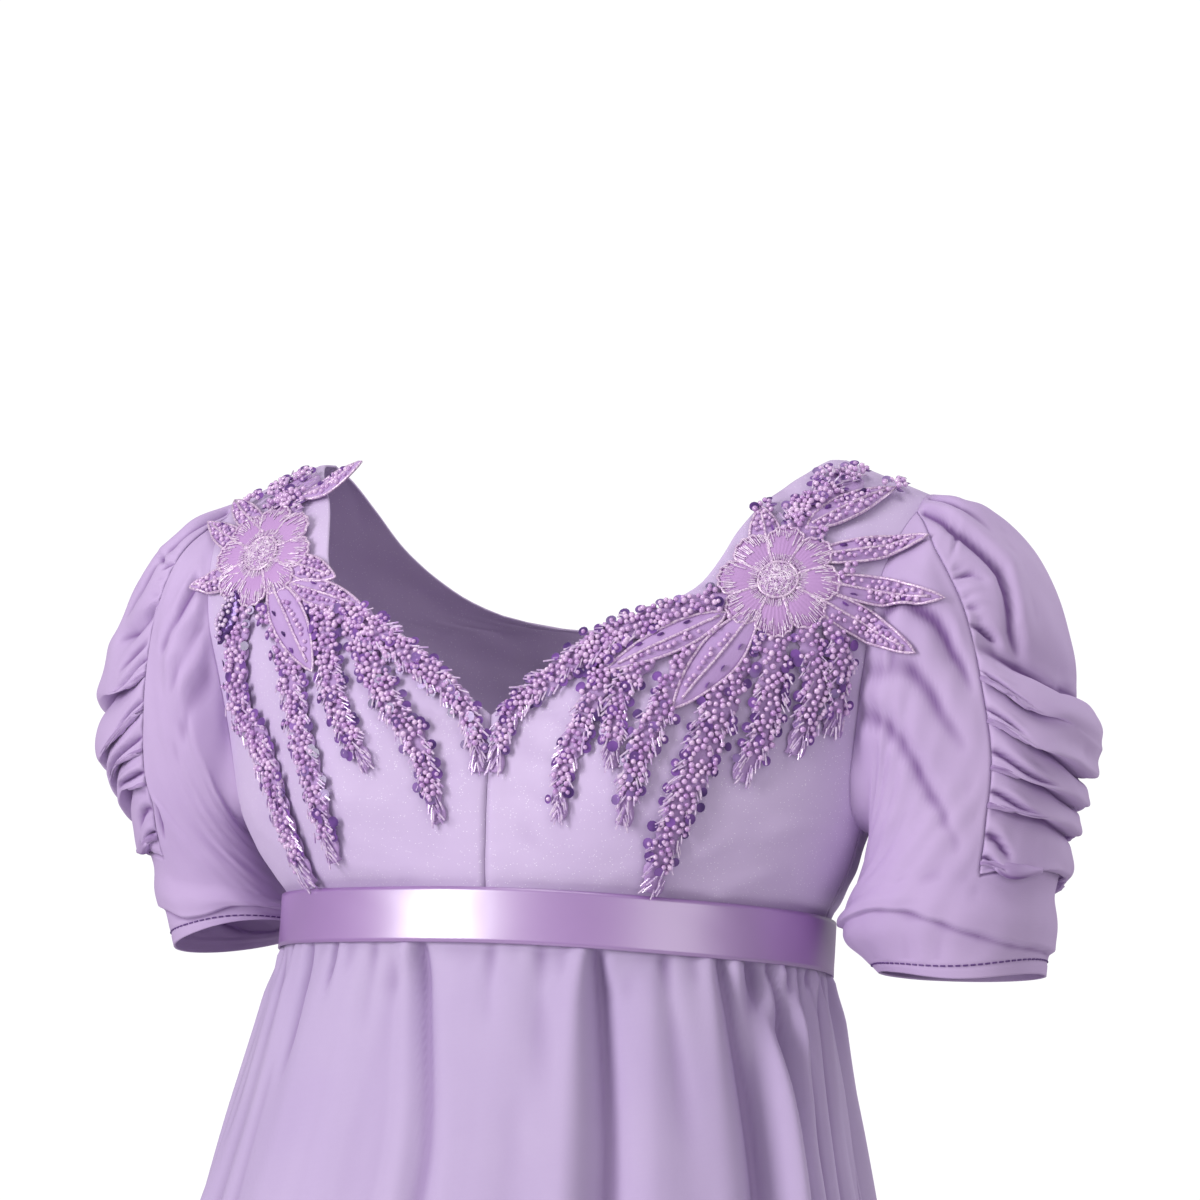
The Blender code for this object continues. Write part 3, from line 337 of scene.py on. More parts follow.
# Pleats of the sleeve head, which start in the armhole seam: along and degrees, then depth,
# width and height of the ridge beside it.
HEAD_CREASES = {
    "left": (
        (0.03, 40.0, 0.18, 42.0, 0.31, 38.0, 0.40, 43.0, 0.49, 40.0, 7.6, 3.1, 2.6),
        (0.37, 61.0, 0.41, 54.0, 0.46, 45.0, 0.53, 25.0, 0.55, -20.0, 4.6, 2.8, -1.6),
        (0.02, 20.0, 0.14, 28.0, 0.25, 29.0, 2.8, 3.0, 1.6),
        (0.27, 61.0, 0.36, 56.0, 0.42, 51.0, 5.0, 2.2, 1.8),
        (0.185, 45.0, 0.20, 53.0, 2.4, 1.7, 0.8), (0.22, 55.0, 0.31, 46.0, 2.6, 1.8, 1.0),
        (0.02, -24.0, 0.16, -30.0, 0.33, -27.0, 4.4, 3.0, 2.0),
        (0.04, -41.0, 0.22, -46.0, 0.38, -42.0, 4.8, 2.8, 2.0),
        (0.20, -58.0, 0.32, -50.0, 3.0, 2.0, 1.2),
    ),
    "right": (
        (0.03, 33.0, 0.16, 38.0, 0.30, 42.0, 0.42, 36.0, 3.2, 3.4, 1.8),
        (0.19, 48.0, 0.24, 30.0, 2.2, 1.8, 1.0),
        (0.26, 63.0, 0.36, 52.0, 0.43, 36.0, 4.6, 2.4, 1.8),
        (0.31, 70.0, 0.38, 62.0, 0.45, 54.0, 4.2, 2.2, 1.6),
        (0.02, -20.0, 0.18, -26.0, 0.32, -24.0, 4.0, 3.0, 1.8),
        (0.04, -38.0, 0.20, -47.0, 0.36, -52.0, 4.6, 2.6, 2.0),
    ),
}
BODICE_FOLDS = {
    "left": (
        # x0, z0, x1, z1, lift, width: soft drag lines under the bust and towards the side
        (92.0, -232.0, 132.0, -205.0, 1.3, 4.0),
        (108.0, -240.0, 146.0, -222.0, 1.5, 3.5),
        (126.0, -215.0, 166.0, -196.0, 1.2, 5.0),
        (60.0, -238.0, 84.0, -226.0, 0.8, 3.0),
        (120.0, -196.0, 160.0, -184.0, 0.9, 6.0),
    ),
    "right": (
        (96.0, -236.0, 128.0, -214.0, 1.1, 4.0),
        (118.0, -224.0, 158.0, -204.0, 1.2, 5.0),
        (48.0, -239.0, 74.0, -230.0, 0.7, 3.0),
    ),
}


# ---------------------------------------------------------------- curves and grids
def smooth(keys, values, at):
    """Smooth curve through values at rising keys, which never overshoots; one column each."""
    at = np.asarray(at, float)
    if keys[0] > keys[-1]:
        keys, values = keys[::-1], values[::-1]
    values = np.asarray(values, float)
    if values.ndim == 1:
        values = values.reshape((-1,) + (1,) * at.ndim) * np.ones((1,) + at.shape)
    step = np.diff(keys).reshape((-1,) + (1,) * at.ndim)
    rise = np.diff(values, axis=0) / step
    product = rise[:-1] * rise[1:]
    total = rise[:-1] + rise[1:]
    middle = np.where(product > 0.0, 2.0 * product / np.where(product > 0.0, total, 1.0), 0.0)
    tangent = np.concatenate((rise[:1], middle, rise[-1:]))
    at = np.clip(at, keys[0], keys[-1])
    i = np.clip(np.searchsorted(keys, at, side="right") - 1, 0, len(keys) - 2)

    def pick(array, index):
        return np.take_along_axis(array, index[None], axis=0)[0]

    h = np.diff(keys)[i]
    u = (at - keys[i]) / h
    a, b = pick(values, i), pick(values, i + 1)
    ta, tb = pick(tangent, i), pick(tangent, i + 1)
    return (a * (1 + 2 * u) * (1 - u) ** 2 + b * u * u * (3 - 2 * u)
            + h * ta * u * (1 - u) ** 2 - h * tb * u * u * (1 - u))


def read(table, at, column=1):
    return smooth(table[:, 0], table[:, column], at)


def unit(vectors):
    return vectors / np.maximum(np.linalg.norm(vectors, axis=-1, keepdims=True), 1e-9)


def run_along(points):
    """Distance run along a line of points, from 0 at its start."""
    return np.concatenate(((0.0,), np.cumsum(np.linalg.norm(np.diff(points, axis=0), axis=1))))


def bell(distance, width):
    return np.exp(-(distance / width) ** 2)


def ramp(value, low, high):
    u = np.clip((value - low) / (high - low), 0.0, 1.0)
    return u * u * (3.0 - 2.0 * u)


def beside(px, py, stops):
    """Signed distance from a line of straight steps, and the share of the line passed."""
    sizes = [math.hypot(b[0] - a[0], b[1] - a[1]) for a, b in zip(stops, stops[1:])]
    near, share, run = None, None, 0.0
    for (x0, y0), (x1, y1), size in zip(stops, stops[1:], sizes):
        ax, ay = (x1 - x0) / size, (y1 - y0) / size
        u = np.clip((px - x0) * ax + (py - y0) * ay, 0.0, size)
        dx, dy = px - x0 - u * ax, py - y0 - u * ay
        off = np.hypot(dx, dy) * np.where(ax * dy - ay * dx < 0.0, -1.0, 1.0)
        at = (run + u) / sum(sizes)
        run += size
        if near is None:
            near, share = off, at
        else:
            nearer = np.abs(off) < np.abs(near)
            near, share = np.where(nearer, off, near), np.where(nearer, at, share)
    return near, share


def ripple(a, b, seed):
    """Soft, repeatable unevenness between -1 and 1 over two coordinates."""
    total = 0.0
    for k in range(1, 5):
        total = total + np.sin(a * k * 1.7 + b * (5 - k) * 1.3 + seed * (2.1 + k)
                               + 1.5 * np.sin(b * k + seed)) / (0.6 + 0.5 * k)
    return total / 3.2


def normals_of(grid):
    return unit(np.cross(np.gradient(grid, axis=1), np.gradient(grid, axis=0)))


def even(field, axis, reach, wrap=False):
    """Field averaged along one axis over its neighbours on both sides."""
    room = [(0, 0)] * field.ndim
    room[axis] = (reach, reach)
    padded = np.pad(field, room, mode="wrap" if wrap and axis == 1 else "edge")
    return np.mean([np.take(padded, np.arange(k, k + field.shape[axis]), axis)
                    for k in range(2 * reach + 1)], 0)


FULL_HOLLOW = 0.5       # mm, with half a cell more, at which a fold counts as fully deep


# Its result is stored on each cloth and used as the mask for painted shade in the folds.
def hollow(grid, outward, wrap):
    """How deep each point of a cloth lies in a fold, from 0 on the open cloth to 1."""
    soft = grid
    for axis in (1, 0, 1):
        soft = even(soft, axis, 3, wrap)
    step = np.linalg.norm(np.gradient(grid, axis=1), axis=2)
    depth = ((soft - grid) * normals_of(grid)).sum(2) * outward
    return np.clip(depth / (FULL_HOLLOW + 0.55 * step), 0.0, 1.0)


def grid_faces(rows, columns, wrap=False, keep=None, outward=1, start=0):
    """Corners of the cells of a grid of points, in the order that makes them face outward."""
    faces = []
    for i in range(rows - 1):
        for j in range(columns if wrap else columns - 1):
            if keep is None or keep[i, j]:
                k = (j + 1) % columns
                face = (start + i * columns + j, start + i * columns + k,
                        start + (i + 1) * columns + k, start + (i + 1) * columns + j)
                faces.append(face if outward > 0 else face[::-1])
    return faces


def new_item(name, mesh):
    item = bpy.data.objects.new(name, mesh)
    bpy.context.scene.collection.objects.link(item)
    return item


def add_wall(item, thick):
    """Give a sheet its thickness in mm, inward from its face."""
    wall = item.modifiers.new("Thickness", "SOLIDIFY")
    wall.thickness = thick * MM
    wall.offset = -1.0


def cloth_mesh(name, grid, outward, thick, wrap=False, keep=None):
    """Sheet of cloth from a grid of points in mm: smooth shaded, with its size as its UV."""
    rows, columns = grid.shape[:2]
    u, v = (np.insert(np.cumsum(np.linalg.norm(np.diff(grid, axis=axis), axis=2), axis), 0, 0.0,
                      axis) for axis in (1, 0))
    u = u - u.mean(axis=1, keepdims=True)
    v = v.mean(axis=1, keepdims=True) * np.ones((1, columns))
    faces = np.array(grid_faces(rows, columns, wrap, keep, outward))
    used = np.unique(faces)
    index = -np.ones(rows * columns, int)
    index[used] = np.arange(len(used))
    mesh = bpy.data.meshes.new(name)
    mesh.from_pydata((grid.reshape(-1, 3)[used] * MM).tolist(), [], index[faces].tolist())
    loops = np.empty(len(mesh.loops), int)
    mesh.loops.foreach_get("vertex_index", loops)
    flat = np.stack((u, v), 2).reshape(-1, 2)[used] * MM
    mesh.uv_layers.new(name="Size").data.foreach_set("uv", flat[loops].ravel())
    # How deep each point lies in a fold; the cloth finish darkens the colour there as painted
    # shade.
    mesh.attributes.new("Fold", "FLOAT", "POINT").data.foreach_set(
        "value", hollow(grid, outward, wrap).ravel()[used])
    mesh.shade_smooth()
    item = new_item(name, mesh)
    add_wall(item, thick)
    return item


def finish_piece(item, material, nodes=()):
    """Give a piece its finish and say what it rides on and stands for."""
    item.data.materials.clear()
    item.data.materials.append(material)
    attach(item, "root")
    if nodes:
        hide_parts(*nodes)


# ---------------------------------------------------------------- form of the gown
def torso(height, x, face):
    """Points of the bodice surface; face is -1 on the front and +1 on the back."""
    width, side_y, front_y, back_y, square, bust, drop = (
        read(TORSO, height, k) for k in range(1, 8))
    u = np.minimum(np.abs(x) / width, 1.0)
    reach = np.maximum(1.0 - u ** square, 0.0) ** (1.0 / square)
    y = side_y + ((front_y if face < 0 else back_y) - side_y) * reach
    if face < 0:
        y = y - bust * bell(np.abs(x) - BUST_X, BUST_SPREAD) * np.minimum(1.0, 2.0 * reach)
    z = height - drop * np.maximum(np.abs(x) - STRAP_X, 0.0) / (TIP_X - STRAP_X)
    return np.stack((x, y, z), -1)


def bodice_grid(face, columns=54, rows=100):
    """Smooth panel from the centre seam to the armhole, and the height of each point on it."""
    neck, edge = (FRONT_NECK, 1) if face < 0 else (BACK_NECK, 2)
    fine = np.linspace(WAIST + SEAM, SHOULDER, 1500)
    path = torso(fine, np.full(fine.shape, 160.0), face)[:, 1:]
    run = run_along(path)
    levels = np.interp(np.linspace(0.0, run[-1], rows), run, fine)
    levels[np.abs(levels - neck[0, 0]).argmin()] = neck[0, 0]
    levels[np.abs(levels - UNDERARM).argmin()] = UNDERARM
    width = read(TORSO, levels)
    x_in = np.where(levels > neck[0, 0], read(neck, levels), SEAM)
    x_out = np.where(levels > UNDERARM, read(ARMHOLE, levels, edge), width)
    low = np.arcsin(np.minimum(x_in / width, 1.0))
    high = np.arcsin(np.minimum(x_out / width, 1.0))
    share = np.linspace(0.0, 1.0, columns)
    share = share - 0.04 * np.sin(2.0 * np.pi * share)
    angle = low[:, None] + (high - low)[:, None] * share[None]
    height = levels[:, None] * np.ones_like(angle)
    grid = torso(height, width[:, None] * np.sin(angle), face)
    grid[levels <= UNDERARM, -1, 1] += face * SEAM
    grid[-1, :, 1] = face * SEAM
    return grid, height


def armhole(angle):
    """Points of the armhole, lapped a little under the bodice; angle 0 is at the shoulder."""
    angle = (np.asarray(angle, float) + 180.0) % 360.0 - 180.0
    turn = np.abs(angle) / 180.0
    height = UNDERARM + (SHOULDER - UNDERARM) * 0.5 * (1.0 + np.cos(np.pi * turn))
    front = torso(height, read(ARMHOLE, height, 1), -1)
    back = torso(height, read(ARMHOLE, height, 2), 1)
    point = np.where((angle >= 0.0)[..., None], front, back)
    point[..., 1] = np.where(height >= SHOULDER - 0.01, 0.0, point[..., 1])
    return point - np.array((ARMHOLE_LAP, 0.0, 0.0))


def sleeve_base(rings, along, angle):
    """Points of a smooth sleeve: along 0 is the armhole, 1 the hem; angle 0 its outer line."""
    c, s = np.cos(np.radians(angle)), np.sin(np.radians(angle))
    start = armhole(angle)
    keys = np.concatenate(((0.0,), rings[:, 0]))
    shape = (len(rings),) + (1,) * np.ndim(angle)
    out_x, out_z, in_x, in_z, mid_y, half = (rings[:, k].reshape(shape) for k in range(1, 7))
    xs = (out_x + in_x) / 2 + (out_x - in_x) / 2 * c[None]
    ys = mid_y - half * s[None]
    zs = (out_z + in_z) / 2 + (out_z - in_z) / 2 * c[None]
    return np.stack([smooth(keys, np.concatenate((start[None, ..., k], v)), along)
                     for k, v in enumerate((xs, ys, zs))], -1)


def sleeve_normal(rings, along, angle):
    """Outward directions of the smooth sleeve."""
    a = np.clip(along, 0.01, 0.99)
    across = sleeve_base(rings, a, angle + 1.5) - sleeve_base(rings, a, angle - 1.5)
    down = sleeve_base(rings, a + 0.01, angle) - sleeve_base(rings, a - 0.01, angle)
    return unit(np.cross(across, down))


def soft_folds(rows, px, py, reach=1.0):
    """Lift of broad folds that swell in the middle; reach divides the second coordinate."""
    lift = 0.0
    for x0, y0, x1, y1, height, width in rows:
        off, share = beside(px, py / reach, ((x0, y0 / reach), (x1, y1 / reach)))
        lift = lift + height * bell(off, width) * (1.0 - np.abs(2.0 * share - 1.0) ** 3)
    return lift


FOLD_DEGREES = 200.0    # degrees round a sleeve that count as its whole length
SEAM_SINK = 0.7         # mm the edges of the sleeve pieces sink where they are sewn
SEAM_LAP = 0.1          # degrees by which the under panel laps over the puff at their seams
CREASE_DIP = 3.4        # how far the creases of a puff sink under its seams
FILLED_LIFT = 6.5       # lift of a puff where a crease dies out
FOOT_LAP = 0.027        # how far the foot of a puff reaches over the cuff, along the sleeve
FOOT_HANG = 2.2         # how far it hangs over there
PUCKERS = 33.0          # small gathers along a gathered seam
PUCKER_LIFT = 1.3
PANEL_END = PUFF_END + 0.004    # where the under panel meets the cuff
CUFF_LIFT = 3.2         # how far the cloth hangs over the cuff fold
CUFF_RECESS = 1.5       # how far the cuff lies back under the puff
CUFF_BACK = PUFF_END + 0.018    # how far along that recess reaches
CUFF_SEWN = PUFF_END + 0.008    # how far along the sunk edges reach
SLEEVE_UNEVEN = 0.8
PUFF_UNEVEN = 0.7
BODICE_UNEVEN = 0.7
CENTRE_DIP = 0.7        # how far the cloth sinks into the centre seams of the bodice
CENTRE_GAP = 0.02       # half the gap that is left there
SKIRT_SWAY = 1.4        # degrees the skirt's folds wander on their way down
SKIRT_UNEVEN = 1.1
GATHERS = 72.0          # small gathers round the top of the skirt
GATHER_LIFT = 2.3
SPANS = (3.0, 1.0, 1.1, 1.0, 1.0, 1.0, 0.35)      # shares of the rows from crease to crease


def pressed(rows, along, signed):
    """Lift of the creases of a sleeve: each is a hollow with a ridge on both sides."""
    lift = 0.0
    for row in rows:
        reach = len(row) - 3
        stops = [(a * SLEEVE_LENGTH, d * GIRTH_STEP)
                 for a, d in zip(row[0:reach:2], row[1:reach:2])]
        off, passed = beside(along * SLEEVE_LENGTH, signed * GIRTH_STEP, stops)
        depth, wide, ridge = row[reach:]
        fold = ridge * bell(off + 2.1 * wide, 1.7 * wide) - depth * bell(off, wide)
        fold = fold + 0.5 * ridge * bell(off - 2.1 * wide, 1.7 * wide)
        lift = lift + fold * (1.0 - passed ** 3)
    return lift


def puff_grid(hand, seed, columns=98, rows=246):
    """Gathered over-arm panel: the cloth swells between creases that fan out of the seams."""
    rings, creases = SLEEVES[hand], CREASES[hand]
    count = len(creases) - 1
    marks = np.concatenate(((0.0,), np.cumsum(SPANS))) / sum(SPANS)
    s = np.linspace(0.0, 1.0, rows)
    k = np.clip(np.searchsorted(marks, s, side="right") - 1, 0, count - 1)
    f = (s - marks[k]) / (marks[k + 1] - marks[k])
    swell, lean = creases[k, 2], creases[k, 3]
    arch = np.sin(np.pi * f ** 1.5)
    rise = np.where(k == 0, arch ** 0.8, arch ** 0.62)
    push = lean * np.sin(np.pi * f) * 0.55
    seam_push = np.minimum(push, 0.45 * np.sin(np.pi * f))
    at_seam = creases[k, 0] + (creases[k + 1, 0] - creases[k, 0]) * (f + seam_push)
    at_outer = creases[k, 1] + (creases[k + 1, 1] - creases[k, 1]) * (f + OUTLINE_LEAN * push)
    at_middle = (creases[k + 1, 1] - creases[k, 1]) * push
    across = np.linspace(-1.0, 1.0, columns)[None, :] * np.ones((rows, 1))
    along = at_outer[:, None] * np.ones((1, columns))
    wander = 0.012 * ripple(across * 2.0, s[:, None] * 9.0, seed)
    low = np.where(k >= count - 2, PUFF_END + FOOT_LAP, PUFF_END - 0.002)[:, None]
    for _ in range(4):
        limit = read(RUCHED_SEAM[hand], along) - SEAM_LAP
        angle = across * limit
        c0 = np.cos(np.radians(limit))
        w = (np.cos(np.radians(angle)) - c0) / (1.0 - c0)
        along = at_seam[:, None] + (at_outer - at_seam)[:, None] * w
        along = along + 0.75 * at_middle[:, None] * np.sin(np.pi * w) ** 2
        along = np.clip(along + wander * np.sin(np.pi * w) * ramp(s, 0.03, 0.2)[:, None]
                        * ramp(1.0 - s, 0.02, 0.15)[:, None], 0.0, low)
    normal = sleeve_normal(rings, along, angle)
    edge = np.abs(across)
    fade = (1.0 - edge ** 5)
    uneven = 1.0 + 0.22 * ripple(across * 3.0, s[:, None] * 11.0, seed + 1)
    dip = CREASE_DIP * bell(np.minimum(f, 1.0 - f), 0.10) * ramp(s, 0.25, 0.33)
    full = (rise * swell - dip * ramp(1.0 - s, 0.03, 0.08))[:, None]
    filled = bell(s - marks[FILLED[hand]], 0.045)[:, None] * ramp(w, 0.45, 0.9)
    hang = FOOT_HANG * bell(s - marks[-2], 0.030)[:, None] * ramp(w, 0.05, 0.45)
    lift = (full + (FILLED_LIFT - full) * filled) * fade * uneven + hang
    for face in (1.0, -1.0):
        for at, reach, drop, deep, wide in TUCKS:
            at = at + (0.0 if face > 0.0 else 0.022 * math.sin(at * 40.0 + seed))
            off = s[:, None] - at - drop * (1.0 - across * face)
            inside = ramp(across * face, 1.0 - reach, 1.0 - 0.45 * reach)
            lift = lift - deep * bell(off, wide) * inside * (1.0 - edge ** 20)
            lift = lift + 0.45 * deep * bell(off + 1.7 * wide, 1.3 * wide) * inside * fade
    shift = 1.3 * ripple(across, s[:, None] * 7.0, seed)
    pucker = np.sin(2.0 * np.pi * (s[:, None] * PUCKERS + shift))
    lift = lift + PUCKER_LIFT * pucker * bell(1.0 - edge, 0.12) * (1.0 - edge ** 12) * ramp(
        s, 0.12, 0.30)[:, None]
    lift = lift + pressed(HEAD_CREASES[hand], along, angle) * fade * ramp(0.60 - along, 0.0, 0.04)
    lift = lift - HEAD_DROP[hand] * bell(along - 0.17, 0.12) * bell(angle, 60.0) * fade
    lift = lift + PUFF_UNEVEN * ripple(across * 4.0, along * 9.0, seed + 3) * fade
    lift = lift * ramp(along, -0.001, 0.02) - SEAM_SINK * bell(1.0 - edge, 0.004)
    lift[0] = -SEAM_SINK
    return sleeve_base(rings, along, angle) + normal * lift[..., None], along, angle


def under_grid(hand, seed, inner=104, outer=76):
    """Plain panel round the underarm, and the cuff all the way round."""
    rings = SLEEVES[hand]
    top = np.linspace(0.0, PANEL_END, 120)
    cuff = np.linspace(PANEL_END, 1.0, 56)[1:]
    rows = np.concatenate((top, cuff))
    limit = read(RUCHED_SEAM[hand], rows) + SEAM_LAP
    share = np.arange(inner) / (inner - 1.0)
    share = 0.5 * share + 0.5 * share ** 2
    first = limit[:, None] + (360.0 - 2.0 * limit)[:, None] * share[None]
    rest = np.arange(1, outer) / outer
    second = -limit[:, None] + 2.0 * limit[:, None] * rest[None]
    angle = np.concatenate((first, second), 1)
    along = rows[:, None] * np.ones_like(angle)
    column = np.arange(angle.shape[1])
    panel = np.where(column < inner, ramp(column, 0, 6) * ramp(inner - 1 - column, 0, 6), 0.0)
    panel = panel[None] + (1.0 - panel[None]) * ramp(along, 0.845, 0.90)
    signed = np.where(angle <= 180.0, angle, angle - 360.0)
    turn = np.abs(signed)
    lift = soft_folds(SLEEVE_FOLDS, along, turn, FOLD_DEGREES)
    lift = UNDER_FOLDS * (lift + 3.0 * bell(along - 0.915, 0.022) - 1.5 * bell(along - 0.955, 0.02))
    lift = lift + pressed(SLEEVE_CREASES[hand], along, signed)
    for axis in (0, 1):
        lift = even(lift, axis, 1, True)
    a = np.radians(angle)
    soft = ripple(np.sin(a) * 2.5 + 2.0, np.cos(a) * 2.5 + along * 7.0, seed)
    lift = lift + SLEEVE_UNEVEN * soft
    edge = read(CUFF_FOLD[hand], turn) + 0.004 * soft
    over = ramp(along, edge - 0.085, edge - 0.02) * (1.0 - ramp(along, edge - 0.002, edge + 0.008))
    lift = lift + CUFF_LIFT * over
    lift = lift * panel * ramp(along, 0.0, 0.05)
    lift = lift * (1.0 - 0.8 * ramp(along, 0.968, 0.976)) - 0.5 * bell(along - HEM_STITCHES, 0.003)
    under_puff = (along <= CUFF_BACK) & (column >= inner)[None]
    lift = np.where(under_puff, -CUFF_RECESS, lift)
    sewn = (along <= CUFF_SEWN) & ((column == 0) | (column == inner - 1))[None]
    lift = np.where(sewn, -SEAM_SINK, lift)
    lift[0] = -SEAM_SINK
    grid = sleeve_base(rings, along, angle) + sleeve_normal(rings, along, angle) * lift[..., None]
    droop, centre, spread = HEM_DROOP[hand]
    grid[..., 2] -= droop * bell(signed - centre, spread) * ramp(along, 0.86, 1.0)
    keep = np.ones((len(rows) - 1, angle.shape[1]), bool)
    keep[:len(top) - 1, inner - 1:] = False
    UNDER_ROWS[hand] = rows
    return grid, keep


def skirt_grid(folds, creases, seed, calm, columns=332, rows=96):
    """Front or back of the skirt; calm is the degree up to which no small gathers show."""
    t = np.linspace(0.0, 1.0, rows) ** 1.9
    heights = WAIST - SEAM + (HEM - WAIST) * t
    down = (WAIST - heights) / (WAIST - HEM)
    start = np.linspace(folds[0, 0], folds[-1, 0], columns)
    grid = np.zeros((rows, columns, 3))
    for i, (height, d) in enumerate(zip(heights, down)):
        width, front_y, back_y = (float(read(SKIRT, np.array(height), k)) for k in (1, 2, 3))
        stops = folds[:, 0] + (folds[:, 1] - folds[:, 0]) * ramp(d, 0.0, 0.9)
        lifts = folds[:, 2] + (folds[:, 3] - folds[:, 2]) * ramp(d, 0.02, 1.0)
        degrees = np.interp(start, folds[:, 0], stops)
        a = np.radians(degrees)
        depth = np.where(np.cos(a) > 0.0, -front_y, back_y)
        out = unit(np.stack((np.sin(a) / width, -np.cos(a) / depth, 0 * a), 1))
        ends = ramp(start - folds[0, 0], 0.0, 6.0) * ramp(folds[-1, 0] - start, 0.0, 6.0)
        sway = SKIRT_SWAY * ripple(a * 3.0, 3.0 * d + 0 * a, seed + 7.0) * ramp(d, 0.05, 0.6) * ends
        uneven = 1.0 + 0.28 * ends * ripple(a * 4.0, 2.0 * d + 0 * a, seed + 5.0)
        lift = smooth(stops, lifts, degrees + sway) * uneven * ramp(-height, 270.0, 296.0)
        step = np.hypot(width * np.cos(a), depth * np.sin(a)) * math.pi / 180.0
        for waist, low, hem, reach, deep, wide, side in creases:
            centre = float(smooth(np.array((-WAIST, 390.0, -HEM)), np.array((waist, low, hem)),
                                  np.array(-height)))
            off = (degrees - centre) * step
            broad = wide * (1.0 + 3.2 * (1.0 - math.exp(-d / 0.10)))
            deep = deep * ramp(-height, 266.0, 276.0) * (1.0 - ramp(d, 0.5 * reach, reach))
            lift = lift - deep * bell(off, broad)
            lift = lift + 0.55 * deep * bell(off - side * 2.0 * broad, 1.5 * broad)
        near = ramp(-height, 270.0, 276.0) * bell(max(-height - 272.0, 0.0), 48.0)
        bunch = 0.15 + 0.85 * ramp(ripple(a * 5.0, 0.5 * a, seed + 9.0), -0.2, 0.45)
        off_centre = np.abs((degrees + 180.0) % 360.0 - 180.0)
        gathers = near * bunch * ramp(off_centre, calm, calm + 14.0) * GATHER_LIFT
        lift = lift + gathers * np.sin(a * GATHERS + 2.6 * ripple(a * 8.0, a, seed))
        soft = ripple(a * 7.0, height * 0.0035 + 0 * a, seed + 2)
        lift = lift + SKIRT_UNEVEN * soft * ramp(-height, 290.0, 380.0)
        base = np.stack((width * np.sin(a), -depth * np.cos(a), height + 0 * a), 1)
        grid[i] = base + out * lift[:, None]
    sign = SEAM if folds[0, 0] > 0.0 else -SEAM
    grid[:, 0, 1] += sign
    grid[:, -1, 1] += sign
    return grid


FORMS = {}
UNDER_ROWS = {}


def forms():
    """All cloth grids, worked out once: name to (grid, outward, wrap, keep)."""
    if FORMS:
        return FORMS
    for face, word in ((-1, "front"), (1, "back")):
        base, height = bodice_grid(face)
        for hand, side in SIDES:
            grid = base.copy()
            n = normals_of(grid) * (1.0 if face < 0 else -1.0)
            x, z = grid[..., 0], grid[..., 2]
            lift = BODICE_UNEVEN * ripple(x * 0.05 * side + 3.0, z * 0.045, 3.0 + face)
            lift = lift * ramp(x, 0.0, 18.0)
            lift = lift * ramp(-z, -6.0, 30.0) * ramp(z, -244.0, -236.0)
            lift = lift * ramp(np.arange(x.shape[1])[::-1], 0.0, 7.0)
            if face < 0:
                lift = lift + soft_folds(BODICE_FOLDS[hand], x, z)
            lift = lift - CENTRE_DIP * bell(x, 1.6) + 0.25 * bell(x - 3.5, 2.5) * np.sin(z * 0.55)
            grid = grid + n * lift[..., None]
            grid[..., 0] = np.maximum(grid[..., 0], CENTRE_GAP) * side
            FORMS["bodice_%s_%s" % (word, hand)] = (grid, -face * side, False, None)
    for hand, side in SIDES:
        flip = np.array((side, 1.0, 1.0))
        grid, _, _ = puff_grid(hand, 2.0 + side)
        FORMS["sleeve_puff_" + hand] = (grid * flip, side, False, None)
        grid, keep = under_grid(hand, 5.0 + side)
        FORMS["sleeve_under_" + hand] = (grid * flip, side, True, keep)
    FORMS["skirt_front"] = (skirt_grid(FRONT_FOLDS, FRONT_CREASES, 1.0, 55.0), -1, False, None)
    FORMS["skirt_back"] = (skirt_grid(BACK_FOLDS, BACK_CREASES, 4.0, 0.0), -1, False, None)
    return FORMS


# ---------------------------------------------------------------- finishes
def srgb(r, g, b):
    return tuple((c / 255.0 / 12.92) if c <= 10 else ((c / 255.0 + 0.055) / 1.055) ** 2.4
                 for c in (r, g, b)) + (1.0,)


def link_chain(tree, *pairs):
    for source, target in pairs:
        tree.links.new(source, target)


def group(name, inputs, outputs, kind="ShaderNodeTree"):
    """New node group with named sockets; gives the tree and its input and output nodes."""
    tree = bpy.data.node_groups.new(name, kind)
    for label, data, value in inputs:
        socket = tree.interface.new_socket(label, in_out="INPUT", socket_type=data)
        if value is not None:
            socket.default_value = value
    for label, data in outputs:
        tree.interface.new_socket(label, in_out="OUTPUT", socket_type=data)
    return tree, tree.nodes.new("NodeGroupInput"), tree.nodes.new("NodeGroupOutput")


def new_material(name, constants):
    """Material with its shader's constants; gives the material, its tree and its shader."""
    made = bpy.data.materials.new(name)
    made.use_nodes = True
    shader = made.node_tree.nodes["Principled BSDF"]
    for label, value in constants:
        shader.inputs[label].default_value = value
    return made, made.node_tree, shader


def node(tree, kind, inputs=(), **settings):
    """New node with its settings; each input is given a value, or a socket to link it to."""
    made = tree.nodes.new(kind)
    for label, value in settings.items():
        setattr(made, label, value)
    for label, value in dict(inputs).items():
        if isinstance(value, bpy.types.NodeSocket):
            tree.links.new(value, made.inputs[label])
        else:
            made.inputs[label].default_value = value
    return made


def math_node(tree, operation, *values):
    """Output of one arithmetic node, from values and sockets."""
    return node(tree, "ShaderNodeMath", enumerate(values), operation=operation).outputs[0]


def noise(tree, place, scale, **inputs):
    return node(tree, "ShaderNodeTexNoise", {"Vector": place, "Scale": scale, **inputs}).outputs[0]


def mix_colour(tree, factor, a, b):
    return node(tree, "ShaderNodeMix", {0: factor, 6: a, 7: b}, data_type="RGBA").outputs[2]


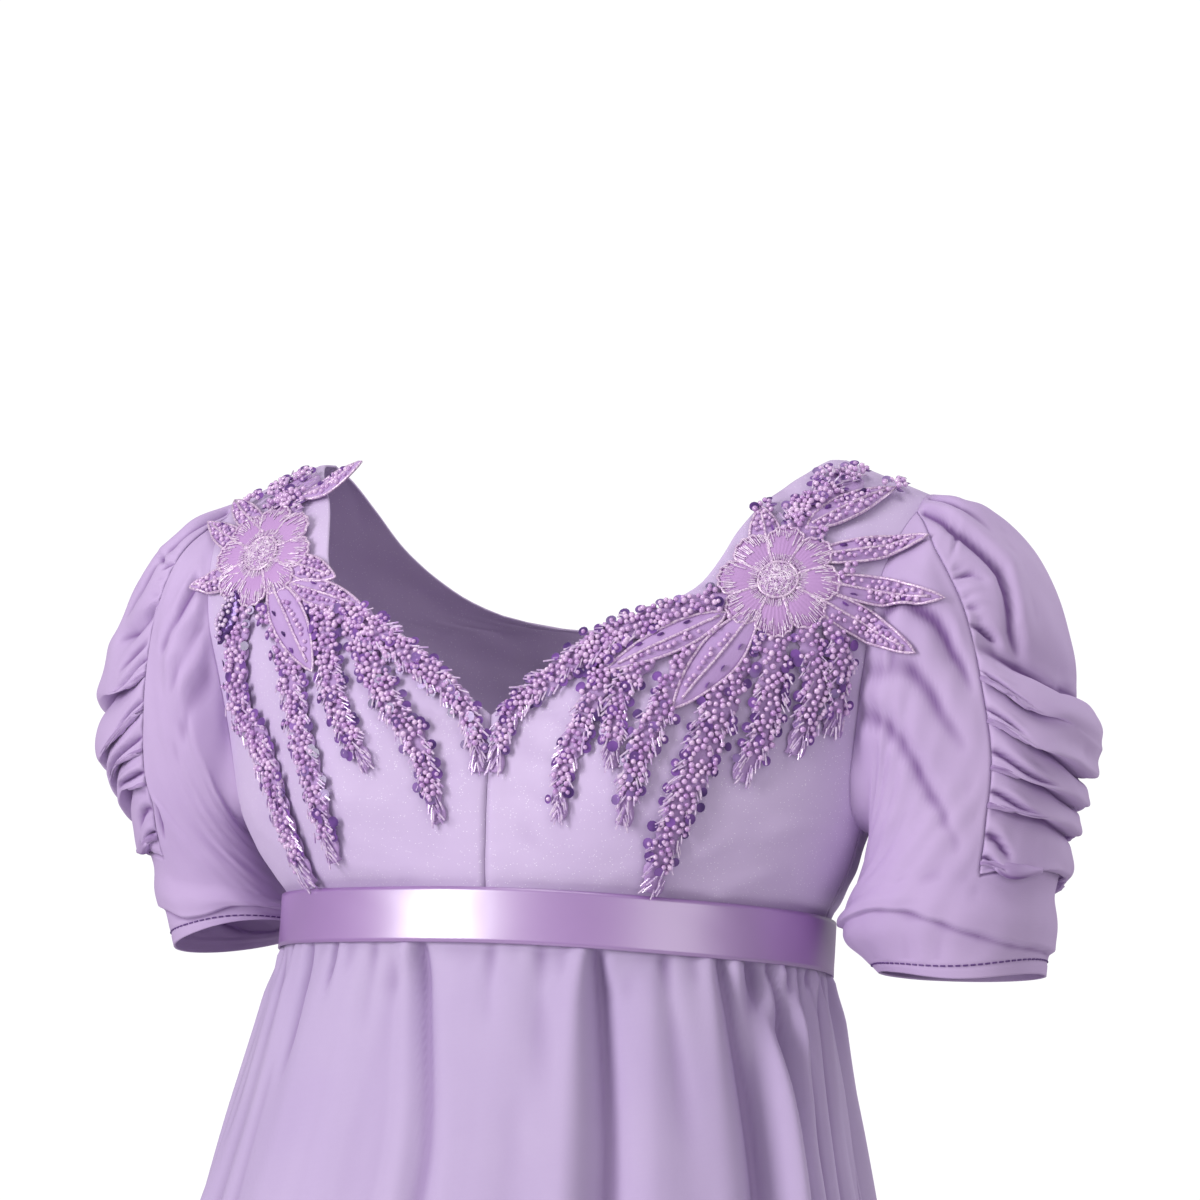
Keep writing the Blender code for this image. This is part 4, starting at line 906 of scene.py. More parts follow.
def woven_group():
    """Threads crossing at right angles, with uneven dye and fine specks of glitter, whose
    near-white colour is a painted glint.
    """
    if "Woven cloth" in bpy.data.node_groups:
        return bpy.data.node_groups["Woven cloth"]
    tree, start, end = group(
        "Woven cloth",
        (("Size map", "NodeSocketVector", None), ("Place", "NodeSocketVector", None),
         ("Light colour", "NodeSocketColor", srgb(206, 188, 228)),
         ("Deep colour", "NodeSocketColor", srgb(186, 164, 214)),
         ("Threads per metre", "NodeSocketFloat", 1600.0),
         ("Glitter", "NodeSocketFloat", 0.0), ("Roughness", "NodeSocketFloat", 0.7)),
        (("Color", "NodeSocketColor"), ("Roughness", "NodeSocketFloat"),
         ("Height", "NodeSocketFloat")))
    given = start.outputs
    parts = node(tree, "ShaderNodeSeparateXYZ", {0: given["Size map"]})
    weave = []
    for axis in (0, 1):
        turn = math_node(tree, "MULTIPLY", parts.outputs[axis], given["Threads per metre"])
        turn = math_node(tree, "MULTIPLY", turn, math.pi)
        weave.append(math_node(tree, "ABSOLUTE", math_node(tree, "SINE", turn)))
    crossed = math_node(tree, "MULTIPLY", *weave)
    slub = noise(tree, given["Place"], 900.0, Detail=3.0)
    height = math_node(tree, "ADD", crossed, math_node(tree, "MULTIPLY", slub, 0.9))
    dye = noise(tree, given["Place"], 14.0, Detail=4.0)
    shade = math_node(tree, "MULTIPLY_ADD", dye, 0.7, 0.05)
    shade = math_node(tree, "ADD", shade, math_node(tree, "MULTIPLY", crossed, 0.25))
    colour = mix_colour(tree, shade, given["Light colour"], given["Deep colour"])
    specks = node(tree, "ShaderNodeTexVoronoi", {"Vector": given["Place"], "Scale": 780.0})
    spark = math_node(tree, "LESS_THAN", specks.outputs["Distance"], 0.17)
    lit = math_node(tree, "GREATER_THAN", specks.outputs["Color"], 0.55)
    spark = math_node(tree, "MULTIPLY", math_node(tree, "MULTIPLY", spark, lit), given["Glitter"])
    # Glitter specks: their lower roughness is real shine, and their near-white colour is a painted
    # glint.
    colour = mix_colour(tree, spark, colour, (0.95, 0.9, 1.0, 1.0))
    rough = math_node(tree, "SUBTRACT", given["Roughness"],
                      math_node(tree, "MULTIPLY", spark, 0.45))
    rough = math_node(tree, "ADD", rough, math_node(tree, "MULTIPLY", slub, 0.1))
    link_chain(tree, (colour, end.inputs["Color"]), (rough, end.inputs["Roughness"]),
               (height, end.inputs["Height"]))
    return tree


def cloth_material(name, light, deep, rough, glitter=0.0, sheen=0.35, threads=1600.0,
                   bump=0.12, anisotropic=0.0, coat=0.0, specular=0.4, fold_depth=0.8):
    """Crepe, satin or net: crossed threads, uneven dye, and painted shade down in the folds."""
    made, tree, shader = new_material(name, (
        ("Sheen Weight", sheen), ("Sheen Roughness", 0.45), ("Sheen Tint", light),
        ("Anisotropic", anisotropic), ("Coat Weight", coat), ("Coat Roughness", 0.33),
        ("Coat IOR", 2.3), ("Specular IOR Level", specular)))
    size = node(tree, "ShaderNodeUVMap", uv_map="Size")
    place = node(tree, "ShaderNodeTexCoord")
    weave = node(tree, "ShaderNodeGroup", {
        "Size map": size.outputs[0], "Place": place.outputs["Object"], "Light colour": light,
        "Deep colour": deep, "Roughness": rough, "Threads per metre": threads,
        "Glitter": glitter}, node_tree=woven_group()).outputs
    # Painted shade: the colour is darkened towards a deeper tone where the cloth lies deep in a
    # fold.
    fold = node(tree, "ShaderNodeAttribute", attribute_name="Fold")
    shade = math_node(tree, "MULTIPLY", fold.outputs["Fac"], fold_depth)
    fold_shadow_colour = tuple(part * share for part, share in zip(deep, (0.42, 0.30, 0.48))) + (1.0,)
    raised = node(tree, "ShaderNodeBump", {"Strength": bump, "Distance": 0.0004,
                                           "Height": weave["Height"]})
    link_chain(tree, (mix_colour(tree, shade, weave["Color"], fold_shadow_colour), shader.inputs["Base Color"]),
               (weave["Roughness"], shader.inputs["Roughness"]),
               (raised.outputs[0], shader.inputs["Normal"]))
    return made


def thread_material(name, light, deep, rough, metallic=0.0, scale=700.0, coat=0.0):
    """Beads, cords and stitching: colour and gloss that vary from grain to grain."""
    made, tree, shader = new_material(name, (
        ("Metallic", metallic), ("Coat Weight", coat), ("Coat Roughness", 0.08)))
    place = node(tree, "ShaderNodeTexCoord")
    grain = noise(tree, place.outputs["Object"], scale, Detail=2.0)
    spread = node(tree, "ShaderNodeMapRange", {0: grain, "From Min": 0.35, "From Max": 0.65})
    colour = mix_colour(tree, spread.outputs[0], light, deep)
    gloss = math_node(tree, "MULTIPLY_ADD", grain, 0.2, rough - 0.1)
    raised = node(tree, "ShaderNodeBump", {"Strength": 0.25, "Distance": 0.0003, "Height": grain})
    link_chain(tree, (colour, shader.inputs["Base Color"]), (gloss, shader.inputs["Roughness"]),
               (raised.outputs[0], shader.inputs["Normal"]))
    return made


# ---------------------------------------------------------------- beaded lace
SPRAY_FULL = 1.08       # beads stand a little past the net of a spray
LOBE = 10.5             # from one cluster of beads to the next along a spray
TIP = 13.0              # length at the end of a spray that has bugle beads only
DISC = 9.6              # radius of the stitched disc of a flower
NET_STEP = 1.9          # from row to row of the net of a spray
PETALS = 8
RIM_STITCHES = 170      # long stitches at the petals' edge, round the disc, and over it
EYE_STITCHES = 110
DISC_STITCHES = 330
CORD_RADIUS = 0.85
BARE_SHARE = 0.04       # share of the seed places that stay empty
SEQUIN_STEP = (2.6, 4.8)
BUGLE_STEP = 1.5
LEAF_GAP = 2.5
LEAF_EDGE = 1.6         # strip along the edge of a leaf that stays free of beads
CLUSTER_GAP = 2.6
SEED_GAP = 2.62         # least distance between the beads of a spray


def lobe(run, sign, number):
    """How far a spray's edge swells round its clusters, which alternate from side to side."""
    phase = run / LOBE + np.where(np.asarray(sign) > 0, 0.5, 0.0) + 0.37 * number
    return 0.66 + 0.42 * np.abs(np.sin(np.pi * phase)) ** 0.8


def beside_way(ahead):
    """Directions square to those along a spray, seen from the front."""
    return np.stack((-ahead[..., 1], ahead[..., 0]), -1)


def flower_of(hand):
    x, z, radius = FLOWERS[hand]
    return x, z, radius * FLOWER_FULL


def leaf_half(width, u):
    """Half width of a pointed leaf at a share of its length."""
    return width / 2.0 * np.sin(np.pi * np.clip(u, 0.0, 1.0) ** 0.85) ** 0.8


def clear_of(hand, place, leaves=True, spare=0.4):
    """Whether a bead at (x, height) stays off the flower and the leaves that lie over it."""
    x, z = place
    fx, fz, radius = flower_of(hand)
    if math.hypot(x - fx, z - fz) < radius * 1.02:
        return False
    if not leaves:
        return True
    for base_x, base_z, tip_x, tip_z, width in LEAVES[hand] + (DARK_LEAF,) * (hand == "right"):
        ax, az = tip_x - base_x, tip_z - base_z
        size = math.hypot(ax, az)
        u = ((x - base_x) * ax + (z - base_z) * az) / size ** 2
        off = abs((x - base_x) * az - (z - base_z) * ax) / size
        if 0.0 < u < 1.0 and off < float(leaf_half(width, u)) + spare:
            return False
    return True


def scatter(chance, low, high, gap, tries, inside):
    """Places in a box that lie inside a shape and no nearer to each other than a gap."""
    cells, found = {}, []
    for _ in range(tries):
        p = (chance.uniform(low[0], high[0]), chance.uniform(low[1], high[1]))
        if not inside(p):
            continue
        i, j = int(p[0] // gap), int(p[1] // gap)
        if all(math.hypot(p[0] - q[0], p[1] - q[1]) >= gap
               for a in (i - 1, i, i + 1) for b in (j - 1, j, j + 1)
               for q in cells.get((a, b), ())):
            cells.setdefault((i, j), []).append(p)
            found.append(p)
    return found


def spray_line(row, step):
    """Points, directions and half widths along the middle of a spray, evenly spaced."""
    stops = np.array(row[2:]).reshape(-1, 2)
    run = run_along(stops)
    count = max(3, int(run[-1] / step))
    at = np.linspace(0.0, run[-1], count)
    line = np.stack((smooth(run, stops[:, 0], at), smooth(run, stops[:, 1], at)), 1)
    share = at / run[-1]
    half = SPRAY_FULL * (row[0] + (row[1] - row[0]) * share ** 2) / 2.0 + 1.3 * share
    return line, unit(np.gradient(line, axis=0)), half


def leaf_edge(base_x, base_z, tip_x, tip_z, width, count=20):
    """Pointed leaf seen from the front: outline points, its middle, its axis."""
    base, tip = np.array((base_x, base_z)), np.array((tip_x, tip_z))
    axis = tip - base
    side = np.array((-axis[1], axis[0])) / np.linalg.norm(axis)
    u = np.linspace(0.0, 1.0, count)
    half = leaf_half(width, u)
    near = base + axis * u[:, None] + side * half[:, None]
    far = base + axis * u[:, None] - side * half[:, None]
    return np.concatenate((near, far[-2:0:-1])), base, axis, side


def around(field, **pad):
    """The nine copies of a field that are shifted by up to one cell each way."""
    rows, columns = field.shape
    padded = np.pad(field, 1, **pad)
    return np.stack([padded[a:a + rows, b:b + columns] for a in range(3) for b in range(3)])


class Drape:
    """Front surface of the worn cloth on one side, read by x and height in mm."""
    pitch = 1.5
    x0, z0, wide, high = -6.0, -250.0, 250.0, 268.0
    before = -400.0

    def __init__(self, hand, side):
        self.side = side
        points, faces = [], []
        for name in ("bodice_front_", "sleeve_puff_", "sleeve_under_"):
            grid, _, wrap, keep = forms()[name + hand]
            faces += grid_faces(*grid.shape[:2], wrap, keep, start=len(points))
            points += [Vector(p) for p in grid.reshape(-1, 3)]
        tree = BVHTree.FromPolygons(points, faces)
        depth = np.full((int(self.high / self.pitch), int(self.wide / self.pitch)), np.nan)
        for i, j in np.ndindex(depth.shape):
            start = Vector(((self.x0 + j * self.pitch) * side, self.before,
                            self.z0 + i * self.pitch))
            hit = tree.ray_cast(start, Vector((0.0, 1.0, 0.0)))[0]
            if hit is not None:
                depth[i, j] = hit.y
        while np.isnan(depth).any():
            near = around(depth, constant_values=np.nan)
            known = (~np.isnan(near)).sum(0)
            mean = np.where(known > 0, np.nansum(near, 0) / np.maximum(known, 1), np.nan)
            depth = np.where(np.isnan(depth), mean, depth)
        near = around(depth, mode="edge").min(0)
        self.depth = np.minimum(around(near, mode="edge").mean(0), near + 0.4)

    def read(self, x, z):
        """Depth of the cloth, read between its cells."""
        d = self.depth
        u = np.clip((np.asarray(x) - self.x0) / self.pitch, 0, d.shape[1] - 1.001)
        v = np.clip((np.asarray(z) - self.z0) / self.pitch, 0, d.shape[0] - 1.001)
        j, i = u.astype(int), v.astype(int)
        u, v = u - j, v - i
        return ((d[i, j] * (1 - u) + d[i, j + 1] * u) * (1 - v)
                + (d[i + 1, j] * (1 - u) + d[i + 1, j + 1] * u) * v)

    def out(self, x, z):
        """Outward direction of the cloth."""
        x, z = np.asarray(x, float), np.asarray(z, float)
        dx = (self.read(x + 2.0, z) - self.read(x - 2.0, z)) / 4.0
        dz = (self.read(x, z + 2.0) - self.read(x, z - 2.0)) / 4.0
        return unit(np.stack((dx * self.side, -np.ones_like(dx), dz), -1))

    def put(self, x, z, lift):
        """Points that stand a lift off the cloth."""
        x, z = np.asarray(x, float), np.asarray(z, float)
        base = np.stack((x * self.side, self.read(x, z), z), -1)
        return base + self.out(x, z) * np.asarray(lift, float)[..., None]

    def ring(self, centre, reach, turn, lift):
        """Points on rays from a centre, at a reach from it."""
        return self.put(centre[0] + reach * np.cos(turn), centre[1] + reach * np.sin(turn),
                        lift + 0.0 * (reach + turn))

    def spot(self, x, z, lift, way, size, tilt=None):
        """Where one bead or stitch sits: its point, outward and ahead directions, and size."""
        point, out = self.put([x], [z], [lift])[0], self.out([x], [z])[0]
        ahead = np.array((way[0] * self.side, 0.0, way[1]))
        ahead = ahead - out * ahead.dot(out)
        if tilt:
            out = unit(out + tilt[1] * tilt[0] * self.side * np.cross(out, ahead))
        return point, out, unit(ahead), size


DRAPES = {}


def drape_of(hand):
    """The drape of one side, worked out once."""
    if hand not in DRAPES:
        DRAPES[hand] = Drape(hand, dict(SIDES)[hand])
    return DRAPES[hand]


def closed_item(name, points, faces, weld=0.0):
    """Smooth object from points in metres, its faces turned outward; weld is in mm."""
    mesh = bpy.data.meshes.new(name)
    mesh.from_pydata(points, [], faces)
    build = bmesh.new()
    build.from_mesh(mesh)
    if weld:
        bmesh.ops.remove_doubles(build, verts=build.verts[:], dist=weld * MM)
    bmesh.ops.recalc_face_normals(build, faces=build.faces[:])
    build.to_mesh(mesh)
    build.free()
    mesh.shade_smooth()
    return new_item(name, mesh)


def net_item(name, grids, wrap=False):
    """Piece of net from small draped grids."""
    points, faces = [], []
    for grid in grids:
        faces += grid_faces(*grid.shape[:2], wrap, start=len(points))
        points += (grid.reshape(-1, 3) * MM).tolist()
    item = closed_item(name, points, faces, weld=0.02)
    add_wall(item, NET_WALL)
    return item


def leaf_sheet(drape, row, foot, crown, relief, counts):
    """Grid of a leaf laid over the cloth; relief gives its small ribs or scales."""
    _, base, axis, way = leaf_edge(*row)
    u = np.linspace(0.015, 0.985, counts[0])[:, None]
    w = np.linspace(-1.0, 1.0, counts[1])[None]
    spot = base + axis * u[..., None] + way * (leaf_half(row[4], u) * w)[..., None]
    lift = foot + crown * (1.0 - w ** 2) * np.ones_like(u) + relief(u, w) * (1.0 - w ** 4)
    return drape.put(spot[..., 0], spot[..., 1], lift)


def tubes(name, paths, radius, sides=6):
    """Round cords along closed or open paths: (points in mm, closed)."""
    points, faces = [], []
    turn = 2.0 * np.pi * np.arange(sides)[:, None] / sides
    for path, closed in paths:
        count = len(path)
        around_it = np.roll(path, -1, 0) - np.roll(path, 1, 0)
        ahead = unit(around_it if closed else np.gradient(path, axis=0))
        across = unit(np.cross(ahead, np.array((0.0, -1.0, 0.001))))
        rise = np.cross(across, ahead)
        start = len(points)
        rings = np.cos(turn) * across[:, None] + np.sin(turn) * rise[:, None]
        points += ((path[:, None] + radius * rings).reshape(-1, 3) * MM).tolist()
        for i in range(count if closed else count - 1):
            n = (i + 1) % count
            for k in range(sides):
                m = (k + 1) % sides
                faces.append((start + i * sides + k, start + i * sides + m,
                              start + n * sides + m, start + n * sides + k))
        if not closed:
            faces.append(tuple(start + k for k in range(sides))[::-1])
            faces.append(tuple(start + (count - 1) * sides + k for k in range(sides)))
    return closed_item(name, points, faces)


LYING = ("GeometryNodeMeshCylinder", {"Vertices": 5}, {"Radius": "Radius", "Depth": "Length"})
SHAPES = {
    # kind: node that makes it, its counts of corners, and its inputs from the named sizes
    "seed beads": ("GeometryNodeMeshUVSphere", {"Segments": 8, "Rings": 4}, {"Radius": "Radius"}),
    "sequins": ("GeometryNodeMeshCone", {"Vertices": 11},
                {"Radius Top": "Radius", "Radius Bottom": "Foot", "Depth": "Depth"}),
    "bugle beads": LYING,
    "stitches": LYING,
}


def bead_tree(kind, material, sizes):
    """Geometry nodes that set one small shape on each point, along its own directions."""
    tree, start, end = group(
        "Sewn " + kind, (("Geometry", "NodeSocketGeometry", None),)
        + tuple((label, "NodeSocketFloat", value) for label, value in sizes),
        (("Geometry", "NodeSocketGeometry"),), "GeometryNodeTree")
    maker, counts, lengths = SHAPES[kind]
    shape = node(tree, maker, {**counts, **{label: start.outputs[size]
                                            for label, size in lengths.items()}})
    soft = node(tree, "GeometryNodeSetShadeSmooth", {
        "Geometry": shape.outputs["Mesh"], "Shade Smooth": kind == "seed beads"})
    outward, ahead, size = (
        node(tree, "GeometryNodeInputNamedAttribute", {"Name": label},
             data_type=data).outputs["Attribute"]
        for label, data in (("outward", "FLOAT_VECTOR"), ("ahead", "FLOAT_VECTOR"),
                            ("size", "FLOAT")))
    turned = node(tree, "FunctionNodeAlignRotationToVector", {
        "Vector": ahead if SHAPES[kind] is LYING else outward}, axis="Z")
    if SHAPES[kind] is not LYING:
        turned = node(tree, "FunctionNodeAlignRotationToVector", {
            "Vector": ahead, "Rotation": turned.outputs["Rotation"]}, axis="X", pivot_axis="Z")
    spread = node(tree, "GeometryNodeInstanceOnPoints", {
        "Points": start.outputs["Geometry"], "Instance": soft.outputs["Geometry"],
        "Rotation": turned.outputs["Rotation"], "Scale": size})
    real = node(tree, "GeometryNodeRealizeInstances", {"Geometry": spread.outputs["Instances"]})
    finish = node(tree, "GeometryNodeSetMaterial", {"Geometry": real.outputs["Geometry"],
                                                    "Material": material})
    tree.links.new(finish.outputs["Geometry"], end.inputs["Geometry"])
    return tree


def sew_on(name, kind, spots, word, sizes):
    """Piece with one small shape at each spot: (point, outward, ahead, size), in mm."""
    mesh = bpy.data.meshes.new(name + "_points")
    points, outward, ahead, size = (np.array(part, float) for part in zip(*spots))
    mesh.from_pydata((points * MM).tolist(), [], [])
    for label, values in (("outward", outward), ("ahead", ahead)):
        layer = mesh.attributes.new(label, "FLOAT_VECTOR", "POINT")
        layer.data.foreach_set("vector", values.ravel())
    mesh.attributes.new("size", "FLOAT", "POINT").data.foreach_set("value", size)
    carrier = new_item(name + "_points", mesh)
    tree = bead_tree(kind, paint(word), sizes)
    maker = carrier.modifiers.new("Sewn", "NODES")
    maker.node_group = tree
    for socket in tree.interface.items_tree:
        if socket.in_out == "INPUT" and socket.socket_type == "NodeSocketFloat":
            maker[socket.identifier] = dict(sizes)[socket.name]
    shown = carrier.evaluated_get(bpy.context.evaluated_depsgraph_get())
    made = bpy.data.meshes.new_from_object(shown)
    made.name = name
    carrier.modifiers.remove(maker)
    bpy.data.objects.remove(carrier, do_unlink=True)
    finish_piece(new_item(name, made), paint(word))


# ---------------------------------------------------------------- settings
def tint(name, description, default):
    return FloatVectorProperty(name=name, description=description, default=srgb(*default),
                               size=4, subtype="COLOR", min=0, max=1)


def length(name, description, default, **limits):
    return FloatProperty(name=name, description=description, default=default,
                         subtype="DISTANCE", unit="LENGTH", **limits)


class GownSettings(bpy.types.PropertyGroup):
    cloth_thickness: length("Cloth thickness", "Wall of the crepe", 0.0012, min=0.0004)
    cloth_colour: tint("Cloth colour", "Lit side of the bodice crepe", (207, 189, 219))
    # Painted shade: the skirt is the bodice's crepe, set darker to offset the extra light that
    # falls on it.
    skirt_shaded_colour: tint("Skirt shaded colour", "Lit side of the skirt crepe", (192, 175, 206))
    sleeve_colour: tint("Sleeve colour", "Lit side of the sleeve crepe", (199, 177, 212))
    ribbon_colour: tint("Ribbon colour", "Satin of the waist ribbon", (164, 116, 188))
    seed_radius: length("Seed bead radius", "Half the width of a seed bead", 0.0016)
    sequin_radius: length("Sequin radius", "Half the width of a cup sequin", 0.0029)
    bugle_length: length("Bugle length", "Length of a bugle bead", 0.0058)
    stitch_seed: IntProperty(name="Unevenness", default=7, min=0,
                             description="Seed for the unevenness of beads and stitches")


def settings():
    return bpy.context.scene.gown


PAINTS = {}
CLOTHS = {
    # word: name, lit colour or the setting that holds it, deep colour, roughness, the rest
    "bodice": ("Bodice crepe", "cloth_colour", (191, 168, 211), 0.60, {"glitter": 0.85}),
    # The skirt's lit and deep colours are darker copies of the bodice's: painted shade.
    "skirt": ("Skirt crepe", "skirt_shaded_colour", (172, 150, 194), 0.68, {"fold_depth": 0.5}),
    "sleeve": ("Sleeve crepe", "sleeve_colour", (177, 150, 198), 0.66, {"fold_depth": 1.0}),
    "ribbon": ("Ribbon satin", "ribbon_colour", (146, 96, 172), 0.40,
               {"sheen": 0.2, "threads": 2600.0, "bump": 0.05, "anisotropic": 0.5, "coat": 1.0,
                "specular": 1.0}),
    "net": ("Embroidered net", (192, 162, 208), (160, 122, 184), 0.5,
            {"sheen": 0.3, "threads": 1100.0, "bump": 0.5}),
    "petal": ("Petal net", (196, 156, 206), (160, 116, 178), 0.5,
              {"sheen": 0.3, "threads": 1100.0, "bump": 0.6}),
}
THREADS = {
    # word: name, lit and deep colour, roughness, then metallic, scale of its grain, coat
    "stitch": ("Satin stitching", (242, 228, 242), (200, 166, 208), 0.35, 0.05, 500.0),
    "cord": ("Metallic cord", (234, 212, 232), (176, 140, 186), 0.32, 0.2, 900.0),
    "seed": ("Lilac glass beads", (228, 196, 232), (184, 136, 200), 0.22, 0.0, 160.0, 0.9),
    "sequin": ("Purple sequins", (128, 80, 164), (64, 28, 100), 0.32, 0.0, 90.0, 0.4),
    "bugle": ("Silver bugle beads", (232, 212, 236), (178, 144, 198), 0.22, 0.1, 300.0, 0.5),
    "thread": ("Sewing thread", (104, 66, 134), (76, 44, 106), 0.6, 0.0, 2000.0),
    "dark": ("Dark sequinned leaf", (92, 52, 130), (52, 22, 84), 0.25, 0.4, 700.0, 0.5),
}


def paint(word):
    """Finish by name, made the first time it is asked for."""
    if word in PAINTS:
        return PAINTS[word]
    if word in CLOTHS:
        name, light, deep, rough, rest = CLOTHS[word]
        light = tuple(getattr(settings(), light)) if isinstance(light, str) else srgb(*light)
        PAINTS[word] = cloth_material(name, light, srgb(*deep), rough, **rest)
    else:
        name, light, deep, *rest = THREADS[word]
        PAINTS[word] = thread_material(name, srgb(*light), srgb(*deep), *rest)
    return PAINTS[word]


def cloth_pieces(cut, word, hands=("_left", "_right")):
    """The pieces of one cut, one for each hand, from their grids."""
    for hand in hands:
        name = cut + hand
        grid, outward, wrap, keep = forms()[name]
        item = cloth_mesh(name.capitalize(), grid, outward, settings().cloth_thickness / MM,
                          wrap, keep)
        finish_piece(item, paint(word), (name,))


class GOWN_OT_bodice(bpy.types.Operator):
    """Fronts and backs of the fitted bodice"""
    bl_idname = "gown.bodice"
    bl_label = "Bodice"

    def execute(self, context):
        cloth_pieces("bodice_front", "bodice")
        cloth_pieces("bodice_back", "bodice")
        return {"FINISHED"}


class GOWN_OT_sleeves(bpy.types.Operator):
    """Gathered over-arm panels and plain under panels of the puff sleeves"""
    bl_idname = "gown.sleeves"
    bl_label = "Sleeves"

    def execute(self, context):
        cloth_pieces("sleeve_puff", "sleeve")
        cloth_pieces("sleeve_under", "sleeve")
        return {"FINISHED"}


class GOWN_OT_skirt(bpy.types.Operator):
    """Full skirt, front and back, gathered into the waist seam"""
    bl_idname = "gown.skirt"
    bl_label = "Skirt"

    def execute(self, context):
        cloth_pieces("skirt_front", "skirt", ("",))
        cloth_pieces("skirt_back", "skirt", ("",))
        return {"FINISHED"}


class GOWN_OT_ribbon(bpy.types.Operator):
    """Satin ribbon round the high waist"""
    bl_idname = "gown.ribbon"
    bl_label = "Waist ribbon"

    def execute(self, context):
        columns, rows = 200, 13
        angle = np.linspace(0.0, 2.0 * np.pi, columns, endpoint=False)[None] * np.ones((rows, 1))
        v = np.linspace(1.0, 0.0, rows)[:, None] * np.ones_like(angle)
        depth = np.where(np.cos(angle) > 0.0, RIBBON_FRONT, RIBBON_BACK)
        out = unit(np.stack((np.sin(angle) / RIBBON_HALF, -np.cos(angle) / depth, 0 * angle), -1))
        height = RIBBON_FOOT + (RIBBON_TOP - RIBBON_FOOT) * v
        height = height + RIBBON_WAVE * np.sin(angle * 5.0 + 1.0)
        lift = RIBBON_LIFT + 0.28 * ripple(angle * 3.0, v * 1.5, 2.0)
        lift = lift + RIBBON_EDGE * (bell(v - 0.04, 0.035) + bell(v - 0.96, 0.035))
        base = np.stack((RIBBON_HALF * np.sin(angle), -depth * np.cos(angle), height), -1)
        item = cloth_mesh("Waist_ribbon", base + out * lift[..., None], 1, RIBBON_WALL, True)
        finish_piece(item, paint("ribbon"), ("waist_ribbon",))
        return {"FINISHED"}


class GOWN_OT_lace_ground(bpy.types.Operator):
    """Net ground of the lace motifs, laid over the shoulder and chest"""
    bl_idname = "gown.lace_ground"
    bl_label = "Lace ground"

    def execute(self, context):
        across = np.linspace(-1.0, 1.0, 7)
        for hand, _ in SIDES:
            drape = drape_of(hand)
            grids = []
            for number, row in enumerate(SPRAYS[hand]):
                line, ahead, half = spray_line(row, NET_STEP)
                run = NET_STEP * np.arange(len(line))[:, None]
                reach = half[:, None] * lobe(run, across, number) * across
                spot = line[:, None] + beside_way(ahead)[:, None] * reach[..., None]
                lift = 1.0 + 0.9 * (1.0 - across ** 2)[None] * np.ones((len(line), 1))
                grids.append(drape.put(spot[..., 0], spot[..., 1], lift))
            for number, row in enumerate(LEAVES[hand]):
                foot = 2.0 if number in BARE_LEAVES[hand] else 1.2
                grids.append(leaf_sheet(
                    drape, row, foot, 1.0,
                    lambda u, w: 0.16 * np.cos(u * 62.0 + np.abs(w) * 7.0), (26, 11)))
            finish_piece(net_item("Lace_ground_" + hand, grids), paint("net"),
                         ("lace_motif_" + hand,))
        return {"FINISHED"}


def petal_edge(turn, radius):
    """Height of the petals round a flower, 0 in the notches, and the reach of their edge."""
    scallop = np.abs(np.cos(turn * PETALS / 2.0)) ** 0.55
    small = 0.018 * np.cos(turn * 40.0)
    return scallop, radius * (0.80 + 0.24 * scallop + small)


class GOWN_OT_flowers(bpy.types.Operator):
    """Satin-stitched flower of each motif, with its raised disc"""
    bl_idname = "gown.flowers"
    bl_label = "Embroidered flowers"

    def execute(self, context):
        for hand, side in SIDES:
            drape = drape_of(hand)
            x, z, radius = flower_of(hand)
            turn = np.linspace(0.0, 2.0 * np.pi, 240, endpoint=False)[None]
            scallop, edge = petal_edge(turn, radius)
            r = np.linspace(0.34, 1.0, 10)[:, None]
            hump = np.sin(np.pi * np.clip((r - 0.34) / 0.66, 0.0, 1.0)) ** 0.6
            ridge = 0.14 * np.cos(turn * 60.0) * ramp(r, 0.36, 0.5)
            petal = drape.ring((x, z), edge * r, turn,
                               1.9 + 1.5 * hump * (0.35 + 0.65 * scallop) + ridge)
            r = np.linspace(0.04, 1.0, 8)[:, None]
            dome = 2.1 + 1.9 * np.sqrt(np.maximum(1.0 - r ** 2, 0.0)) + 0.12 * np.cos(turn * 36.0)
            disc = drape.ring((x, z), DISC * r, turn, dome)
            item = net_item("Lace_flower_" + hand, (petal, disc), wrap=True)
            finish_piece(item, paint("petal"))
            chance = random.Random(settings().stitch_seed + side)
            threads = []

            def lay(r, a, lift, size, way=None):
                lies = (math.cos(a if way is None else way), math.sin(a if way is None else way))
                threads.append(drape.spot(x + r * math.cos(a), z + r * math.sin(a), lift, lies,
                                          size))

            for k in range(RIM_STITCHES):
                a = 2.0 * math.pi * (k + chance.uniform(-0.3, 0.3)) / RIM_STITCHES
                full, reach = petal_edge(np.array(a), radius)
                outer = float(reach) * chance.uniform(0.86, 1.03)
                inner = outer - chance.uniform(3.0, 7.0)
                lay((inner + outer) / 2, a, 3.0 + 0.7 * float(full), (outer - inner) / 6.0)
            for k in range(EYE_STITCHES):
                a = 2.0 * math.pi * (k + chance.uniform(-0.3, 0.3)) / EYE_STITCHES
                inner = chance.uniform(DISC + 0.2, DISC + 1.5)
                lay(inner + 2.0, a, 3.1, chance.uniform(0.45, 0.8))
            for k in range(DISC_STITCHES):
                r = (DISC - 0.4) * math.sqrt(chance.random())
                a, b = chance.uniform(0.0, 2.0 * math.pi), chance.uniform(0.0, math.pi)
                lay(r, a, 2.4 + 1.9 * math.sqrt(max(1.0 - (r / DISC) ** 2, 0.0)),
                    chance.uniform(0.4, 0.75), b)
            sew_on("Lace_threads_" + hand, "stitches", threads, "stitch",
                   (("Radius", 0.00030), ("Length", 0.0060)))
        return {"FINISHED"}


